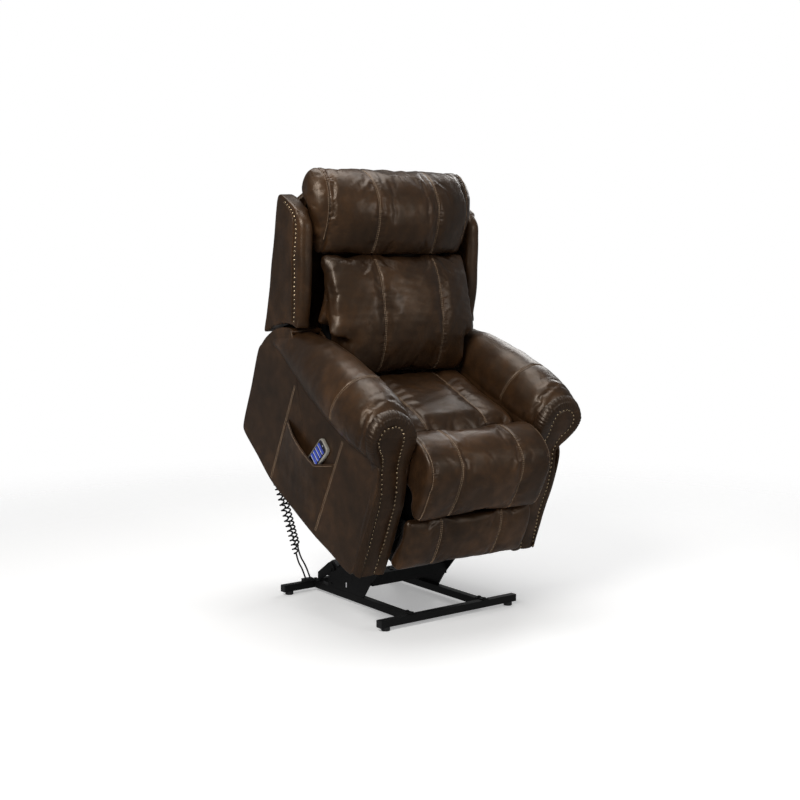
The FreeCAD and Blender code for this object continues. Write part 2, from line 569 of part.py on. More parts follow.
# ---------------------------------------------------------------- back
hb = []
for s in (1, -1):
    x0 = 225.0 if s > 0 else -229.0
    pl = chair([(540, 190), (600, 190), (652, 262), (652, 300), (630, 312), (604, 300), (540, 285)])
    hb.append(prism("HingePlate%d" % (s + 1), pl, x0, 4.0))
    yh, zh = low(*OB)
    hb.append(cyl("HingePin%d" % (s + 1), "$pin_rad", 27.0, (s * 228.0, yh, zh), (s, 0, 0)))
node("back_hinge_brackets", fuse("HingeBrackets", hb), LIFT)

bf = []
for s in (1, -1):
    x0 = 231.0 if s > 0 else -252.0
    up = chair([(608, 262), (640, 254), (656, 270), (700, 430), (880, 898), (832, 906), (644, 430)])
    yh, zh = low(*OB)
    bf.append(prism("Upright%d" % (s + 1), up, x0, 21.0, holes=[(yh, zh, "$pin_hole_rad")]))
for k, (b, u, w) in enumerate(((834, 860, 40.0), (742, 620, 40.0), (648, 368, 40.0))):
    yy, zz = low(b, u)
    bf.append(box("BackRail%d" % k, (464.0, 20.0, w), (-232.0, yy, zz)))
lever = chair([(650, 400), (668, 400), (668, 340), (656, 180), (640, 174), (625, 182), (625, 200), (650, 340)])
ye, ze = low(640, 190)
bf.append(prism("BackLever", lever, 91.0, 8.0, holes=[(ye, ze, 5.0)]))
node("back_frame", fuse("BackFrame", bf), LIFT)

lh = D["lumbar_half"]
lum_low = [(526, 432), (511, 475), (519, 556), (530, 575), (692, 578), (641, 434)]
lum_high = arc(301.0, 104.0, 78.0, 3)
lum_high = [(533, 590), (544, 625), (573, 664), (615, 712), (670, 755), (728, 781), (764, 781), (700, 585)] + lum_high[::-1]
node("lumbar_cushion", prism("Lumbar", chair(lum_high), -lh, "2 * $lumbar_half", more=[(chair(lum_low), -256.0, 512.0)]), LIFT)
hh = D["head_half"]
node("headrest_pillow", prism("Headrest", chair([(732, 787), (721, 830), (727, 885), (744, 938), (780, 988), (835, 1022), (903, 1032),
     (955, 1016), (972, 978), (962, 914), (893, 908), (826, 914), (768, 789)]), -hh, "2 * $head_half"), LIFT)
wing_pts = [(694, 536), (725, 640), (768, 740), (810, 830), (842, 874), (882, 895), (930, 906), (994, 892)] + arc(262.0, 30.0, 73.0, 4)[0:5]
for side, s in (("left", 1), ("right", -1)):
    xw = D["wing_in"] if s > 0 else -D["wing_in"] - D["wing_thick"]
    node("wing_" + side, prism("Wing" + side, chair(wing_pts), xw, "$wing_thick"), LIFT)
panel = [(857, 425), (994, 889), (1002, 932), (990, 982), (972, 1006), (964, 1000), (979, 976), (990, 932), (982, 892), (845, 429)]
tail = [(857.5, 426), (845, 429), (826, 310), (838, 306)]
node("back_outer_panel", prism("OuterPanel", chair(panel), -337.0, 674.0, more=[(chair(tail), -268.0, 536.0)]), LIFT)

wn = []
line = [(703, 548), (735, 640), (778, 740), (820, 828), (850, 862), (886, 882), (930, 893)]
for s in (1, -1):
    for (b0, u0), (b1, u1) in zip(line, line[1:]):
        n = max(1, int(math.hypot(b1 - b0, u1 - u0) / 16.0))
        for k in range(n):
            yy, zz = low(b0 + (b1 - b0) * k / n, u0 + (u1 - u0) * k / n)
            wn.append(Part.makeCylinder(D["nail_rad"], D["nail_rise"], V(s * (D["wing_in"] + D["wing_thick"]), yy, zz), V(s, 0, 0)))
wnails = doc.addObject("Part::Feature", "WingNails")
wnails.Shape = Part.makeCompound(wn)
node("wing_nailheads", wnails, LIFT)

# recline actuator between the seat box and the back's lever
ym, zm = low(340, 175)
mount_parts = [box("ReclineBar", (136.0, 24.0, 13.0), (71.0, ym - 12.0, zm - 12.5 - 18.0)),
     prism("ReclineEar0", [(ym - 12, zm - 40), (ym + 12, zm - 40), (ym + 12, zm + 12), (ym - 12, zm + 12)], 71.0, 4.0),
     prism("ReclineEar1", [(ym - 12, zm - 40), (ym + 12, zm - 40), (ym + 12, zm + 12), (ym - 12, zm + 12)], 115.0, 4.0),
     cyl("ReclinePin", 5.0, 46.0, (72.0, ym, zm), (1, 0, 0))]
RL = math.hypot(640 - 340, 190 - 175)
RA = math.atan2(190 - 175, 640 - 340)
ru, rv = math.cos(RA), math.sin(RA)
hk = doc.addObject("Part::Prism", "ReclineHex")
hk.Polygon = 6
hk.Circumradius = 16.0
hk.Height = 34.0
hk.Placement = FreeCAD.Placement(V(78.0, ym, zm), FreeCAD.Rotation(V(0, 0, 1), V(1, 0, 0)))
rt = cyl("ReclineTube", 15.0, 190.0, (95.0, ym + 8 * ru, zm + 8 * rv), (0, ru, rv))
rb = cyl("ReclineBore", 9.0, 180.0, (95.0, ym + 22 * ru, zm + 22 * rv), (0, ru, rv))
rpb = cyl("ReclinePinBore", 5.06, 38.0, (76.0, ym, zm), (1, 0, 0))
node("recline_motor", cut("ReclineMotor", cut("ReclineMotor0", fuse("ReclineMotorSolid", [hk, rt]), rb), rpb), LIFT)
rr = cyl("ReclineRodBar", 8.0, RL - 26.0 - 110.0, (95.0, ym + 110 * ru, zm + 110 * rv), (0, ru, rv))
rc = [prism("ReclineCheek%d" % k, bar_outline((ym + (RL - 30) * ru, zm + (RL - 30) * rv), (ym + RL * ru, zm + RL * rv), 9.0, 10.0), x, 4.0,
            holes=[(ym + RL * ru, zm + RL * rv, 5.0)]) for k, x in enumerate((85.0, 101.0))]
rbk = cyl("ReclineBlock", 6.5, 20.0, (85.0, ym + (RL - 32) * ru, zm + (RL - 32) * rv), (1, 0, 0))
node("recline_rod", fuse("ReclineRod", [rr, rbk] + rc), LIFT)

# ---------------------------------------------------------------- legrest
LO, Q1, Q2 = low(85, 185), low(75, 36), low(24, 180)
lpins = []
for s in (1, -1):
    lpins.append(cyl("LegPivot%d" % (s + 1), 6.0, 14.0, (s * 225.0, LO[0], LO[1]), (s, 0, 0)))
# the seat box takes the legrest pivot pins and the recline motor's ears
node("seat_box_frame", fuse("SeatBox", sb + mount_parts + lpins), LIFT)
la, lb = [], []
for s in (1, -1):
    x0 = 232.0 if s > 0 else -237.0
    la.append(prism("LegLinkA%d" % (s + 1), bar_outline(LO, Q1, 13.0, 13.0), x0, 5.0, holes=[(LO[0], LO[1], 6.06)]))
    la.append(cyl("LegLinkPin%d" % (s + 1), 6.0, 13.0, (s * 236.0, Q1[0], Q1[1]), (s, 0, 0)))
node("legrest_rear_links", fuse("LegLinksA", la), LIFT)
lbs = []
for s in (1, -1):
    x0 = 242.0 if s > 0 else -247.0
    b = prism("LegLinkB%d" % (s + 1), bar_outline(Q1, Q2, 13.0, 12.0), x0, 5.0, holes=[(Q1[0], Q1[1], 6.06)])
    p = cyl("LegLinkBPin%d" % (s + 1), 5.0, 10.0, (s * 246.0, Q2[0], Q2[1]), (s, 0, 0))
    lbs.append(fuse("LegLinkBSide%d" % (s + 1), [b, p]))
node("legrest_front_links", group("LegLinksB", lbs), LIFT)
y0, z0 = low(-8, 36)
brd = [box("LegBoard", (520.0, 14.0, 166.0), (-260.0, y0, z0))]
for s in (1, -1):
    pt = chair([(5, 150), (24, 166), (40, 172), (40, 190), (24, 196), (5, 198)])
    brd.append(prism("LegBracket%d" % (s + 1), pt, 250.0 if s > 0 else -254.0, 4.0, holes=[(Q2[0], Q2[1], 5.06)]))
node("legrest_board", fuse("LegrestBoard", brd), LIFT)
node("legrest_pad", prism("LegrestPad", chair([(-9, 28), (-9, 206), (-20, 205), (-36, 178), (-46, 120), (-46, 62), (-36, 30)]),
     -264.0, 528.0), LIFT)

# ---------------------------------------------------------------- handset in the pocket
# its own frame: X along its thickness, Y across, Z along its length; tilted in the side plane
HT = math.atan2(28.0, 85.0)
hy, hz = low(341, 295)
HS = LIFT.multiply(FreeCAD.Placement(V(-392.0, hy, hz), FreeCAD.Rotation(V(1, 0, 0), math.degrees(HT))))
hw, hl, ht = D["handset_wide"], D["handset_long"], D["handset_thick"]
case = box("HandsetCase", ("$handset_thick", "$handset_wide", "$handset_long"), (-ht, -hw / 2, -hl))
wells = []
KEYS = [-26.0 - 19.0 * r for r in range(4)]
for k, kz in enumerate(KEYS):
    wells.append(box("Well%d" % k, (4.6, 44.6, 13.6), (-ht - 0.1, -22.3, kz - 6.8)))
node("handset_case", cut("HandsetShell", case, group("Wells", wells)), HS)
names = ["key_lift_up", "key_lift_down", "key_recline", "key_upright"]
for k, kz in enumerate(KEYS):
    kb = box("Key%d" % k, ("$key_rise", 44.0, 13.0), (-ht - 1.2, -22.0, kz - 6.5))
    node("handset_" + names[k], kb, HS)

# ---------------------------------------------------------------- cords
def rod_between(tag, rad, a, b):
    a, b = V(*a), V(*b)
    return cyl(tag, rad, (b - a).Length, tuple(a), tuple((b - a).normalize()))


COIL1 = ((-348.6, 273.6, 492.0), (-238.0, 281.0, 140.0))
COIL2 = ((-322.0, 296.0, 514.0), (-222.0, 297.0, 166.0))
grom = []
for k, (top, end) in enumerate((COIL1, COIL2)):
    g = (V(*top) - V(*end)).normalize()
    grom.append(cyl("Grommet%d" % k, 10.0, 20.0, top, tuple(g)))
node("cord_grommets", group("Grommets", grom))
node("handset_curly_cord", rod_between("Coil1", "$coil_rad", COIL1[1], COIL1[0]))
node("power_curly_cord", rod_between("Coil2", "$coil_rad", COIL2[1], COIL2[0]))


def lead(tag, pts, rad):
    """Straight runs joined by tangent arcs, 0.45 of the shorter run."""
    P3 = [V(*p) for p in pts]
    edges, start, length = [], P3[0], 0.0
    for i in range(1, len(P3) - 1):
        a, b, c = P3[i - 1], P3[i], P3[i + 1]
        u = (b - a).normalize()
        w = (c - b).normalize()
        turn_a = u.getAngle(w)
        setb = 0.45 * min((b - a).Length, (c - b).Length)
        r = setb / math.tan(turn_a / 2.0)
        print("LEAD", tag, "radius %.1f" % r)
        p1, p2 = b - u * setb, b + w * setb
        n = u.cross(w).normalize()
        cen = p1 + n.cross(u) * r
        mid = cen + ((p1 - cen) + (p2 - cen)).normalize() * r
        edges.append(Part.LineSegment(start, p1).toShape())
        edges.append(Part.Arc(p1, mid, p2).toShape())
        start = p2
    edges.append(Part.LineSegment(start, P3[-1]).toShape())
    wire = Part.Wire(edges)
    prof = Part.Wire([Part.Circle(P3[0], (P3[1] - P3[0]), rad).toShape()])
    sh = wire.makePipeShell([prof], True, True)
    print("LEAD", tag, "volume %.2f expected %.2f length %.1f" % (sh.Volume, math.pi * rad * rad * wire.Length, wire.Length))
    f = doc.addObject("Part::Feature", tag)
    f.Shape = sh
    return f


LEAD1 = [(-238.0, 281.0, 139.9), (-231.0, 281.4, 112.0), (-213.0, 279.0, 82.0), (-204.0, 275.0, 49.0)]
LEAD2 = [(-222.0, 297.0, 165.9), (-216.0, 295.0, 132.0), (-195.0, 284.0, 92.0), (-184.0, 275.0, 49.0)]
node("handset_cord_lead", lead("Lead1", LEAD1, D["lead_rad"]))
node("power_cord_lead", lead("Lead2", LEAD2, D["lead_rad"]))

# ---------------------------------------------------------------- checks and files
doc.recompute()
bad = [o.Name for o in doc.Objects if "Invalid" in o.State or "Error" in o.State]
if bad:
    raise RuntimeError("failed objects: %s" % bad)
os.makedirs("parts", exist_ok=True)
total = 0.0
for name, obj in NODES.items():
    sh = obj.Shape
    if sh.isNull() or not sh.isValid():
        raise RuntimeError("bad shape: " + name)
    if not sh.Solids:
        raise RuntimeError("no solid: " + name)
    for so in sh.Solids:
        if so.Volume <= 0:
            raise RuntimeError("no volume: " + name)
    total += sh.Volume
    sh.exportStep("parts/%s.step" % name)
bb = FreeCAD.BoundBox()
for name, obj in NODES.items():
    if "cord" not in name:
        bb.add(obj.Shape.BoundBox)
print("%d nodes, %.0f cm3, x %.1f %.1f y %.1f %.1f z %.1f %.1f" % (len(NODES), total / 1000.0, bb.XMin, bb.XMax, bb.YMin, bb.YMax, bb.ZMin, bb.ZMax))
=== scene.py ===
import math

import bpy
import bmesh
import numpy as np
from mathutils import Vector, Matrix
from mathutils.bvhtree import BVHTree
from mathutils.kdtree import KDTree

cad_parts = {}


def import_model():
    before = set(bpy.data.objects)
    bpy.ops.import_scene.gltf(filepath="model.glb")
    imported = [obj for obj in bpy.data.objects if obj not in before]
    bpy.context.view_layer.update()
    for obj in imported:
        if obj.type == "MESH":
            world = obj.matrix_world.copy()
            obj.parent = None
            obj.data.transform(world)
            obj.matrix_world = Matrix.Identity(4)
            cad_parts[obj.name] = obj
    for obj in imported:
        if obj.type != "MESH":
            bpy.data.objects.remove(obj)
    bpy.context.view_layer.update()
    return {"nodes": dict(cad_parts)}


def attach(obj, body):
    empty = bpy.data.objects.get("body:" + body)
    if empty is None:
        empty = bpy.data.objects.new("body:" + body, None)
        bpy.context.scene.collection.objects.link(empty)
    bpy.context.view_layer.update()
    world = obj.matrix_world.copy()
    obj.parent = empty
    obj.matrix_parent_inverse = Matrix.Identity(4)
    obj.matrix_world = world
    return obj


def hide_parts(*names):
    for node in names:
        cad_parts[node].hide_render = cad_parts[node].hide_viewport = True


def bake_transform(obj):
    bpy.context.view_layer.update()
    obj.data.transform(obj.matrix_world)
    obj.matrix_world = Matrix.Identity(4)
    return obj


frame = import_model()
scene = bpy.context.scene

# ------------------------------------------------------------------ camera
cam_data = bpy.data.cameras.new("camera")
cam_data.lens = 60.11
cam_data.sensor_width = 36.0
cam_data.sensor_fit = "HORIZONTAL"
cam_data.clip_start = 0.1
cam_data.clip_end = 60.0
cam = bpy.data.objects.new("camera", cam_data)
scene.collection.objects.link(cam)
az, el = math.radians(-36.75), math.radians(6.375)
back = Vector((math.sin(az) * math.cos(el), -math.cos(az) * math.cos(el), math.sin(el)))
right = Vector((math.cos(az), math.sin(az), 0.0))
upv = back.cross(right)
cam.matrix_world = Matrix((
    (right.x, upv.x, back.x, -2.8272),
    (right.y, upv.y, back.y, -3.7427),
    (right.z, upv.z, back.z, 1.25647),
    (0, 0, 0, 1),
))
scene.camera = cam

# ------------------------------------------------------------------ frames and small maths
MM = 0.001
TC, TS = math.cos(math.radians(28.0)), math.sin(math.radians(28.0))
YC, ZC = -244.0, 199.5
RNG = np.random.RandomState(7)


def world(co):
    """Chair coordinates (x, back, up) in mm to the row frame in metres."""
    co = np.asarray(co, float)
    x, d, h = co[..., 0], co[..., 1], co[..., 2]
    return np.stack([x * MM, (YC + TC * d - TS * h) * MM, (ZC + TS * d + TC * h) * MM], -1)


def turned(v):
    """A chair-frame direction in the row frame."""
    v = np.asarray(v, float)
    return np.stack([v[..., 0], TC * v[..., 1] - TS * v[..., 2], TS * v[..., 1] + TC * v[..., 2]], -1)


def resample(P, n, loop):
    P = np.asarray(P, float)
    Q = np.vstack([P, P[:1]]) if loop else P
    s = np.concatenate([[0], np.cumsum(np.linalg.norm(np.diff(Q, axis=0), axis=1))])
    t = np.linspace(0, s[-1], n + 1)[:-1] if loop else np.linspace(0, s[-1], n)
    return np.stack([np.interp(t, s, Q[:, k]) for k in range(Q.shape[1])], 1)


def curve(pts, n, loop=True, sub=16):
    """Smooth line through the points, evenly spaced."""
    P = np.asarray(pts, float)
    m = len(P)
    out = []
    rng = range(m) if loop else range(m - 1)
    for i in rng:
        p1, p2 = P[i], P[(i + 1) % m]
        p0 = P[(i - 1) % m] if loop or i > 0 else 2 * p1 - p2
        p3 = P[(i + 2) % m] if loop or i < m - 2 else 2 * p2 - p1
        a, b, c = (max(np.linalg.norm(q - r), 1e-6) ** 0.5 for q, r in ((p1, p0), (p2, p1), (p3, p2)))
        t0, t1 = 0.0, a
        t2, t3 = a + b, a + b + c
        for t in np.linspace(t1, t2, sub, endpoint=False):
            A1 = (t1 - t) / (t1 - t0) * p0 + (t - t0) / (t1 - t0) * p1
            A2 = (t2 - t) / (t2 - t1) * p1 + (t - t1) / (t2 - t1) * p2
            A3 = (t3 - t) / (t3 - t2) * p2 + (t - t2) / (t3 - t2) * p3
            B1 = (t2 - t) / (t2 - t0) * A1 + (t - t0) / (t2 - t0) * A2
            B2 = (t3 - t) / (t3 - t1) * A2 + (t - t1) / (t3 - t1) * A3
            out.append((t2 - t) / (t2 - t1) * B1 + (t - t1) / (t2 - t1) * B2)
    if not loop:
        out.append(P[-1])
    return resample(np.array(out), n, loop)


def outward(P):
    """Outward normals of a closed plane curve."""
    t = np.roll(P, -1, 0) - np.roll(P, 1, 0)
    t /= np.maximum(np.linalg.norm(t, axis=1, keepdims=True), 1e-9)
    nrm = np.stack([t[:, 1], -t[:, 0]], 1)
    area = 0.5 * np.sum(P[:, 0] * np.roll(P[:, 1], -1) - np.roll(P[:, 0], -1) * P[:, 1])
    return nrm if area > 0 else -nrm


def waves(P, size, seed, octaves=5):
    """Smooth repeatable unevenness, about -1 to 1."""
    r = np.random.RandomState(seed)
    out = np.zeros(len(P))
    for _ in range(octaves):
        k = r.normal(size=3)
        k *= 2 * math.pi / size / np.linalg.norm(k) * r.uniform(0.7, 1.4)
        out += np.sin(P @ k + r.uniform(0, 6.28))
    return out / octaves ** 0.5 / 1.2


def mesh(name, verts, faces, smooth=True):
    me = bpy.data.meshes.new(name)
    me.from_pydata([tuple(v) for v in verts], [], [tuple(f) for f in faces])
    me.update()
    if smooth:
        me.polygons.foreach_set("use_smooth", [True] * len(me.polygons))
    o = bpy.data.objects.new(name, me)
    scene.collection.objects.link(o)
    return o


def get_co(o):
    co = np.zeros(len(o.data.vertices) * 3)
    o.data.vertices.foreach_get("co", co)
    return co.reshape(-1, 3)


def set_co(o, co):
    o.data.vertices.foreach_set("co", np.asarray(co, np.float32).ravel())
    o.data.update()


def get_no(o):
    no = np.zeros(len(o.data.vertices) * 3, np.float32)
    o.data.vertices.foreach_get("normal", no)
    return no.reshape(-1, 3).astype(float)


def bake(o):
    """Apply every modifier."""
    bpy.context.view_layer.update()
    dg = bpy.context.evaluated_depsgraph_get()
    me = bpy.data.meshes.new_from_object(o.evaluated_get(dg))
    old = o.data
    o.modifiers.clear()
    o.data = me
    bpy.data.meshes.remove(old)
    me.polygons.foreach_set("use_smooth", [True] * len(me.polygons))
    return o


def remesh(o, size):
    m = o.modifiers.new("voxel", "REMESH")
    m.mode = "VOXEL"
    m.voxel_size = size * MM * 1000 if size < 0.1 else size * MM
    return bake(o)


def subdivide(o, levels=1):
    m = o.modifiers.new("sub", "SUBSURF")
    m.levels = levels
    m.render_levels = levels
    return bake(o)


def relax(o, rounds=2, factor=0.5):
    m = o.modifiers.new("smooth", "SMOOTH")
    m.iterations = rounds
    m.factor = factor
    return bake(o)


def puff(o, pressure=4.0, cap=14.0, pin=None, frames=16, shrink=0.0, stiff=15.0):
    """Cloth simulation of a filled cover; seams that are pinned stay down."""
    rest = get_co(o)
    m = o.modifiers.new("cloth", "CLOTH")
    s = m.settings
    s.quality = 3
    s.mass = 0.3
    s.tension_stiffness = stiff
    s.compression_stiffness = stiff
    s.shear_stiffness = stiff * 0.5
    s.bending_stiffness = 0.6
    s.use_pressure = True
    s.uniform_pressure_force = pressure
    s.effector_weights.gravity = 0.0
    s.shrink_min = shrink
    if pin is not None:
        vg = o.vertex_groups.new(name="pin")
        w = np.clip(pin(rest * 1000.0), 0, 1)
        for value in (1.0,):
            idx = np.nonzero(w >= 0.5)[0]
            if len(idx):
                vg.add([int(i) for i in idx], value, "REPLACE")
        s.vertex_group_mass = "pin"
    m.point_cache.frame_start = 1
    m.point_cache.frame_end = frames + 1
    for f in range(1, frames + 1):
        scene.frame_set(f)
    dg = bpy.context.evaluated_depsgraph_get()
    ev = o.evaluated_get(dg)
    co = np.zeros(len(ev.data.vertices) * 3)
    ev.data.vertices.foreach_get("co", co)
    co = co.reshape(-1, 3)
    o.modifiers.clear()
    o.vertex_groups.clear()
    scene.frame_set(1)
    d = co - rest
    n = np.linalg.norm(d, axis=1, keepdims=True)
    lim = cap * MM
    d *= np.minimum(1.0, lim / np.maximum(n, 1e-9))
    set_co(o, rest + d)
    return o


def skin(name, rings, cap=True):
    """Closed surface through rings of chair-frame points (mm); kept in chair-frame metres."""
    n = len(rings[0])
    verts = [p for r in rings for p in r]
    faces = []
    for k in range(len(rings) - 1):
        for i in range(n):
            j = (i + 1) % n
            faces.append((k * n + i, k * n + j, (k + 1) * n + j, (k + 1) * n + i))
    if cap:
        for k, flip in ((0, True), (len(rings) - 1, False)):
            c = len(verts)
            verts.append(np.mean(rings[k], axis=0))
            for i in range(n):
                j = (i + 1) % n
                faces.append((c, k * n + j, k * n + i) if flip else (c, k * n + i, k * n + j))
    o = mesh(name, np.array(verts) * MM, faces)
    bm = bmesh.new()
    bm.from_mesh(o.data)
    bmesh.ops.recalc_face_normals(bm, faces=bm.faces)
    bm.to_mesh(o.data)
    bm.free()
    return o


def pillow(name, prof, x0, x1, radius, n=150, p=2.2, step=9.0, warp=None, dome=0.0):
    """Cushion: a side profile (back, up) run across from x0 to x1, its ends rounded.
    radius: number, or function of the profile's points, of the end rounding."""
    P = curve(prof, n)
    N = outward(P)
    R = radius(P) if callable(radius) else np.full(len(P), float(radius))
    Rm = float(R.max())
    c = P.mean(0)
    xs, rings = [], []
    k = 14
    ends = [Rm * (1 - math.cos(a)) for a in np.linspace(0, math.pi / 2, k)]
    mid = np.linspace(x0 + Rm, x1 - Rm, max(3, int((x1 - x0 - 2 * Rm) / step)))
    xs = [x0 + e for e in ends[:-1]] + list(mid) + [x1 - e for e in ends[::-1][1:]]
    for x in xs:
        dist = min(x - x0, x1 - x)
        e = np.clip(1 - dist / np.maximum(R, 1e-6), 0, 1)
        # a point rounds only over its own radius
        f = (1 - np.minimum(e, 1.0) ** p) ** (1 / p)
        Q = P - N * (R * (1 - f))[:, None]
        ring = np.column_stack([np.full(len(Q), x), Q])
        if warp is not None:
            ring = warp(ring)
        rings.append(ring)
    return skin(name, rings)


def bvh_mm(o):
    """Search tree of a chair-frame mesh, in mm."""
    co = get_co(o) * 1000.0
    polys = [tuple(p.vertices) for p in o.data.polygons]
    return BVHTree.FromPolygons([tuple(v) for v in co], polys)


def hit(tree, origin, direction, reach=400.0):
    loc, nrm, _, _ = tree.ray_cast(Vector(origin), Vector(direction).normalized(), reach)
    if loc is None:
        return None
    return np.array(loc), np.array(nrm)


def trace(tree, guides, directions):
    pts, nrms = [], []
    for g, d in zip(guides, directions):
        r = hit(tree, g, d)
        if r is None:
            continue
        q, nn = r
        if np.dot(nn, d) > 0:
            nn = -nn
        pts.append(q)
        nrms.append(nn)
    return np.array(pts), np.array(nrms)


STITCH = []
NAILS = {"arm": [], "wing": []}


def stitches(key, pts, nrms, pitch=7.0, length=5.0, wide=0.72, smooth=3):
    """Thread laid along a line on the leather: one small slack capsule each."""
    if len(pts) < 3:
        return
    P = np.array(pts)
    N = np.array(nrms)
    for _ in range(smooth):
        P[1:-1] = 0.5 * P[1:-1] + 0.25 * (P[:-2] + P[2:])
        N[1:-1] = 0.5 * N[1:-1] + 0.25 * (N[:-2] + N[2:])
    s = np.concatenate([[0], np.cumsum(np.linalg.norm(np.diff(P, axis=0), axis=1))])
    n = int(s[-1] / pitch)
    for i in range(n):
        a = (i + 0.5) * pitch
        c = np.array([np.interp(a, s, P[:, k]) for k in range(3)])
        b = np.array([np.interp(min(a + 2, s[-1]), s, P[:, k]) for k in range(3)])
        b2 = np.array([np.interp(max(a - 2, 0), s, P[:, k]) for k in range(3)])
        nn = np.array([np.interp(a, s, N[:, k]) for k in range(3)])
        t = b - b2
        t /= max(np.linalg.norm(t), 1e-9)
        nn -= t * np.dot(nn, t)
        nn /= max(np.linalg.norm(nn), 1e-9)
        STITCH.append((key, c + nn * 0.25, t, nn, length, wide))


def thread_mesh(name, items):
    verts, faces = [], []
    prof = [(-0.5, 0.0, -0.9), (-0.42, 0.75, -0.15), (-0.15, 1.0, 0.25), (0.15, 1.0, 0.25), (0.42, 0.75, -0.15), (0.5, 0.0, -0.9)]
    seg = 6
    for _, c, t, nn, length, wide in items:
        b = np.cross(t, nn)
        base = len(verts)
        for u, r, lift in prof:
            for k in range(seg):
                a = 2 * math.pi * k / seg
                verts.append(c + t * u * length + b * (r * wide * math.cos(a)) + nn * (r * wide * math.sin(a) + lift * wide * 0.5))
        for k in range(len(prof) - 1):
            for i in range(seg):
                j = (i + 1) % seg
                faces.append((base + k * seg + i, base + k * seg + j, base + (k + 1) * seg + j, base + (k + 1) * seg + i))
    return mesh(name, world(np.array(verts)), faces)


def to_world(o):
    """A chair-frame mesh (metres) to the row frame."""
    co = get_co(o) * 1000.0
    set_co(o, world(co))
    return o


def groove(co, no, dist, depth, width):
    return co - no * (depth * np.exp(-((dist / width) ** 2)))[:, None]


def profile_param(P, co2):
    """Nearest place along a closed profile for each (back, up)."""
    kd = KDTree(len(P))
    for i, q in enumerate(P):
        kd.insert((q[0], q[1], 0), i)
    kd.balance()
    out = np.zeros(len(co2))
    L = np.linalg.norm(np.roll(P, -1, 0) - P, axis=1).sum() / len(P)
    for i, q in enumerate(co2):
        out[i] = kd.find((q[0], q[1], 0))[1] * L
    return out


# ------------------------------------------------------------------ materials
def new_mat(name):
    m = bpy.data.materials.new(name)
    m.use_nodes = True
    nt = m.node_tree
    for n in list(nt.nodes):
        if n.type != "OUTPUT_MATERIAL":
            nt.nodes.remove(n)
    out = [n for n in nt.nodes if n.type == "OUTPUT_MATERIAL"][0]
    b = nt.nodes.new("ShaderNodeBsdfPrincipled")
    nt.links.new(b.outputs[0], out.inputs[0])
    return m, nt, b


def node(nt, kind, **kw):
    n = nt.nodes.new(kind)
    for k, v in kw.items():
        if k in n.inputs:
            n.inputs[k].default_value = v
        else:
            setattr(n, k, v)
    return n


def ramp(nt, stops):
    r = nt.nodes.new("ShaderNodeValToRGB")
    e = r.color_ramp.elements
    while len(e) > 1:
        e.remove(e[-1])
    e[0].position, e[0].color = stops[0][0], (*stops[0][1], 1)
    for p, c in stops[1:]:
        x = e.new(p)
        x.color = (*c, 1)
    return r


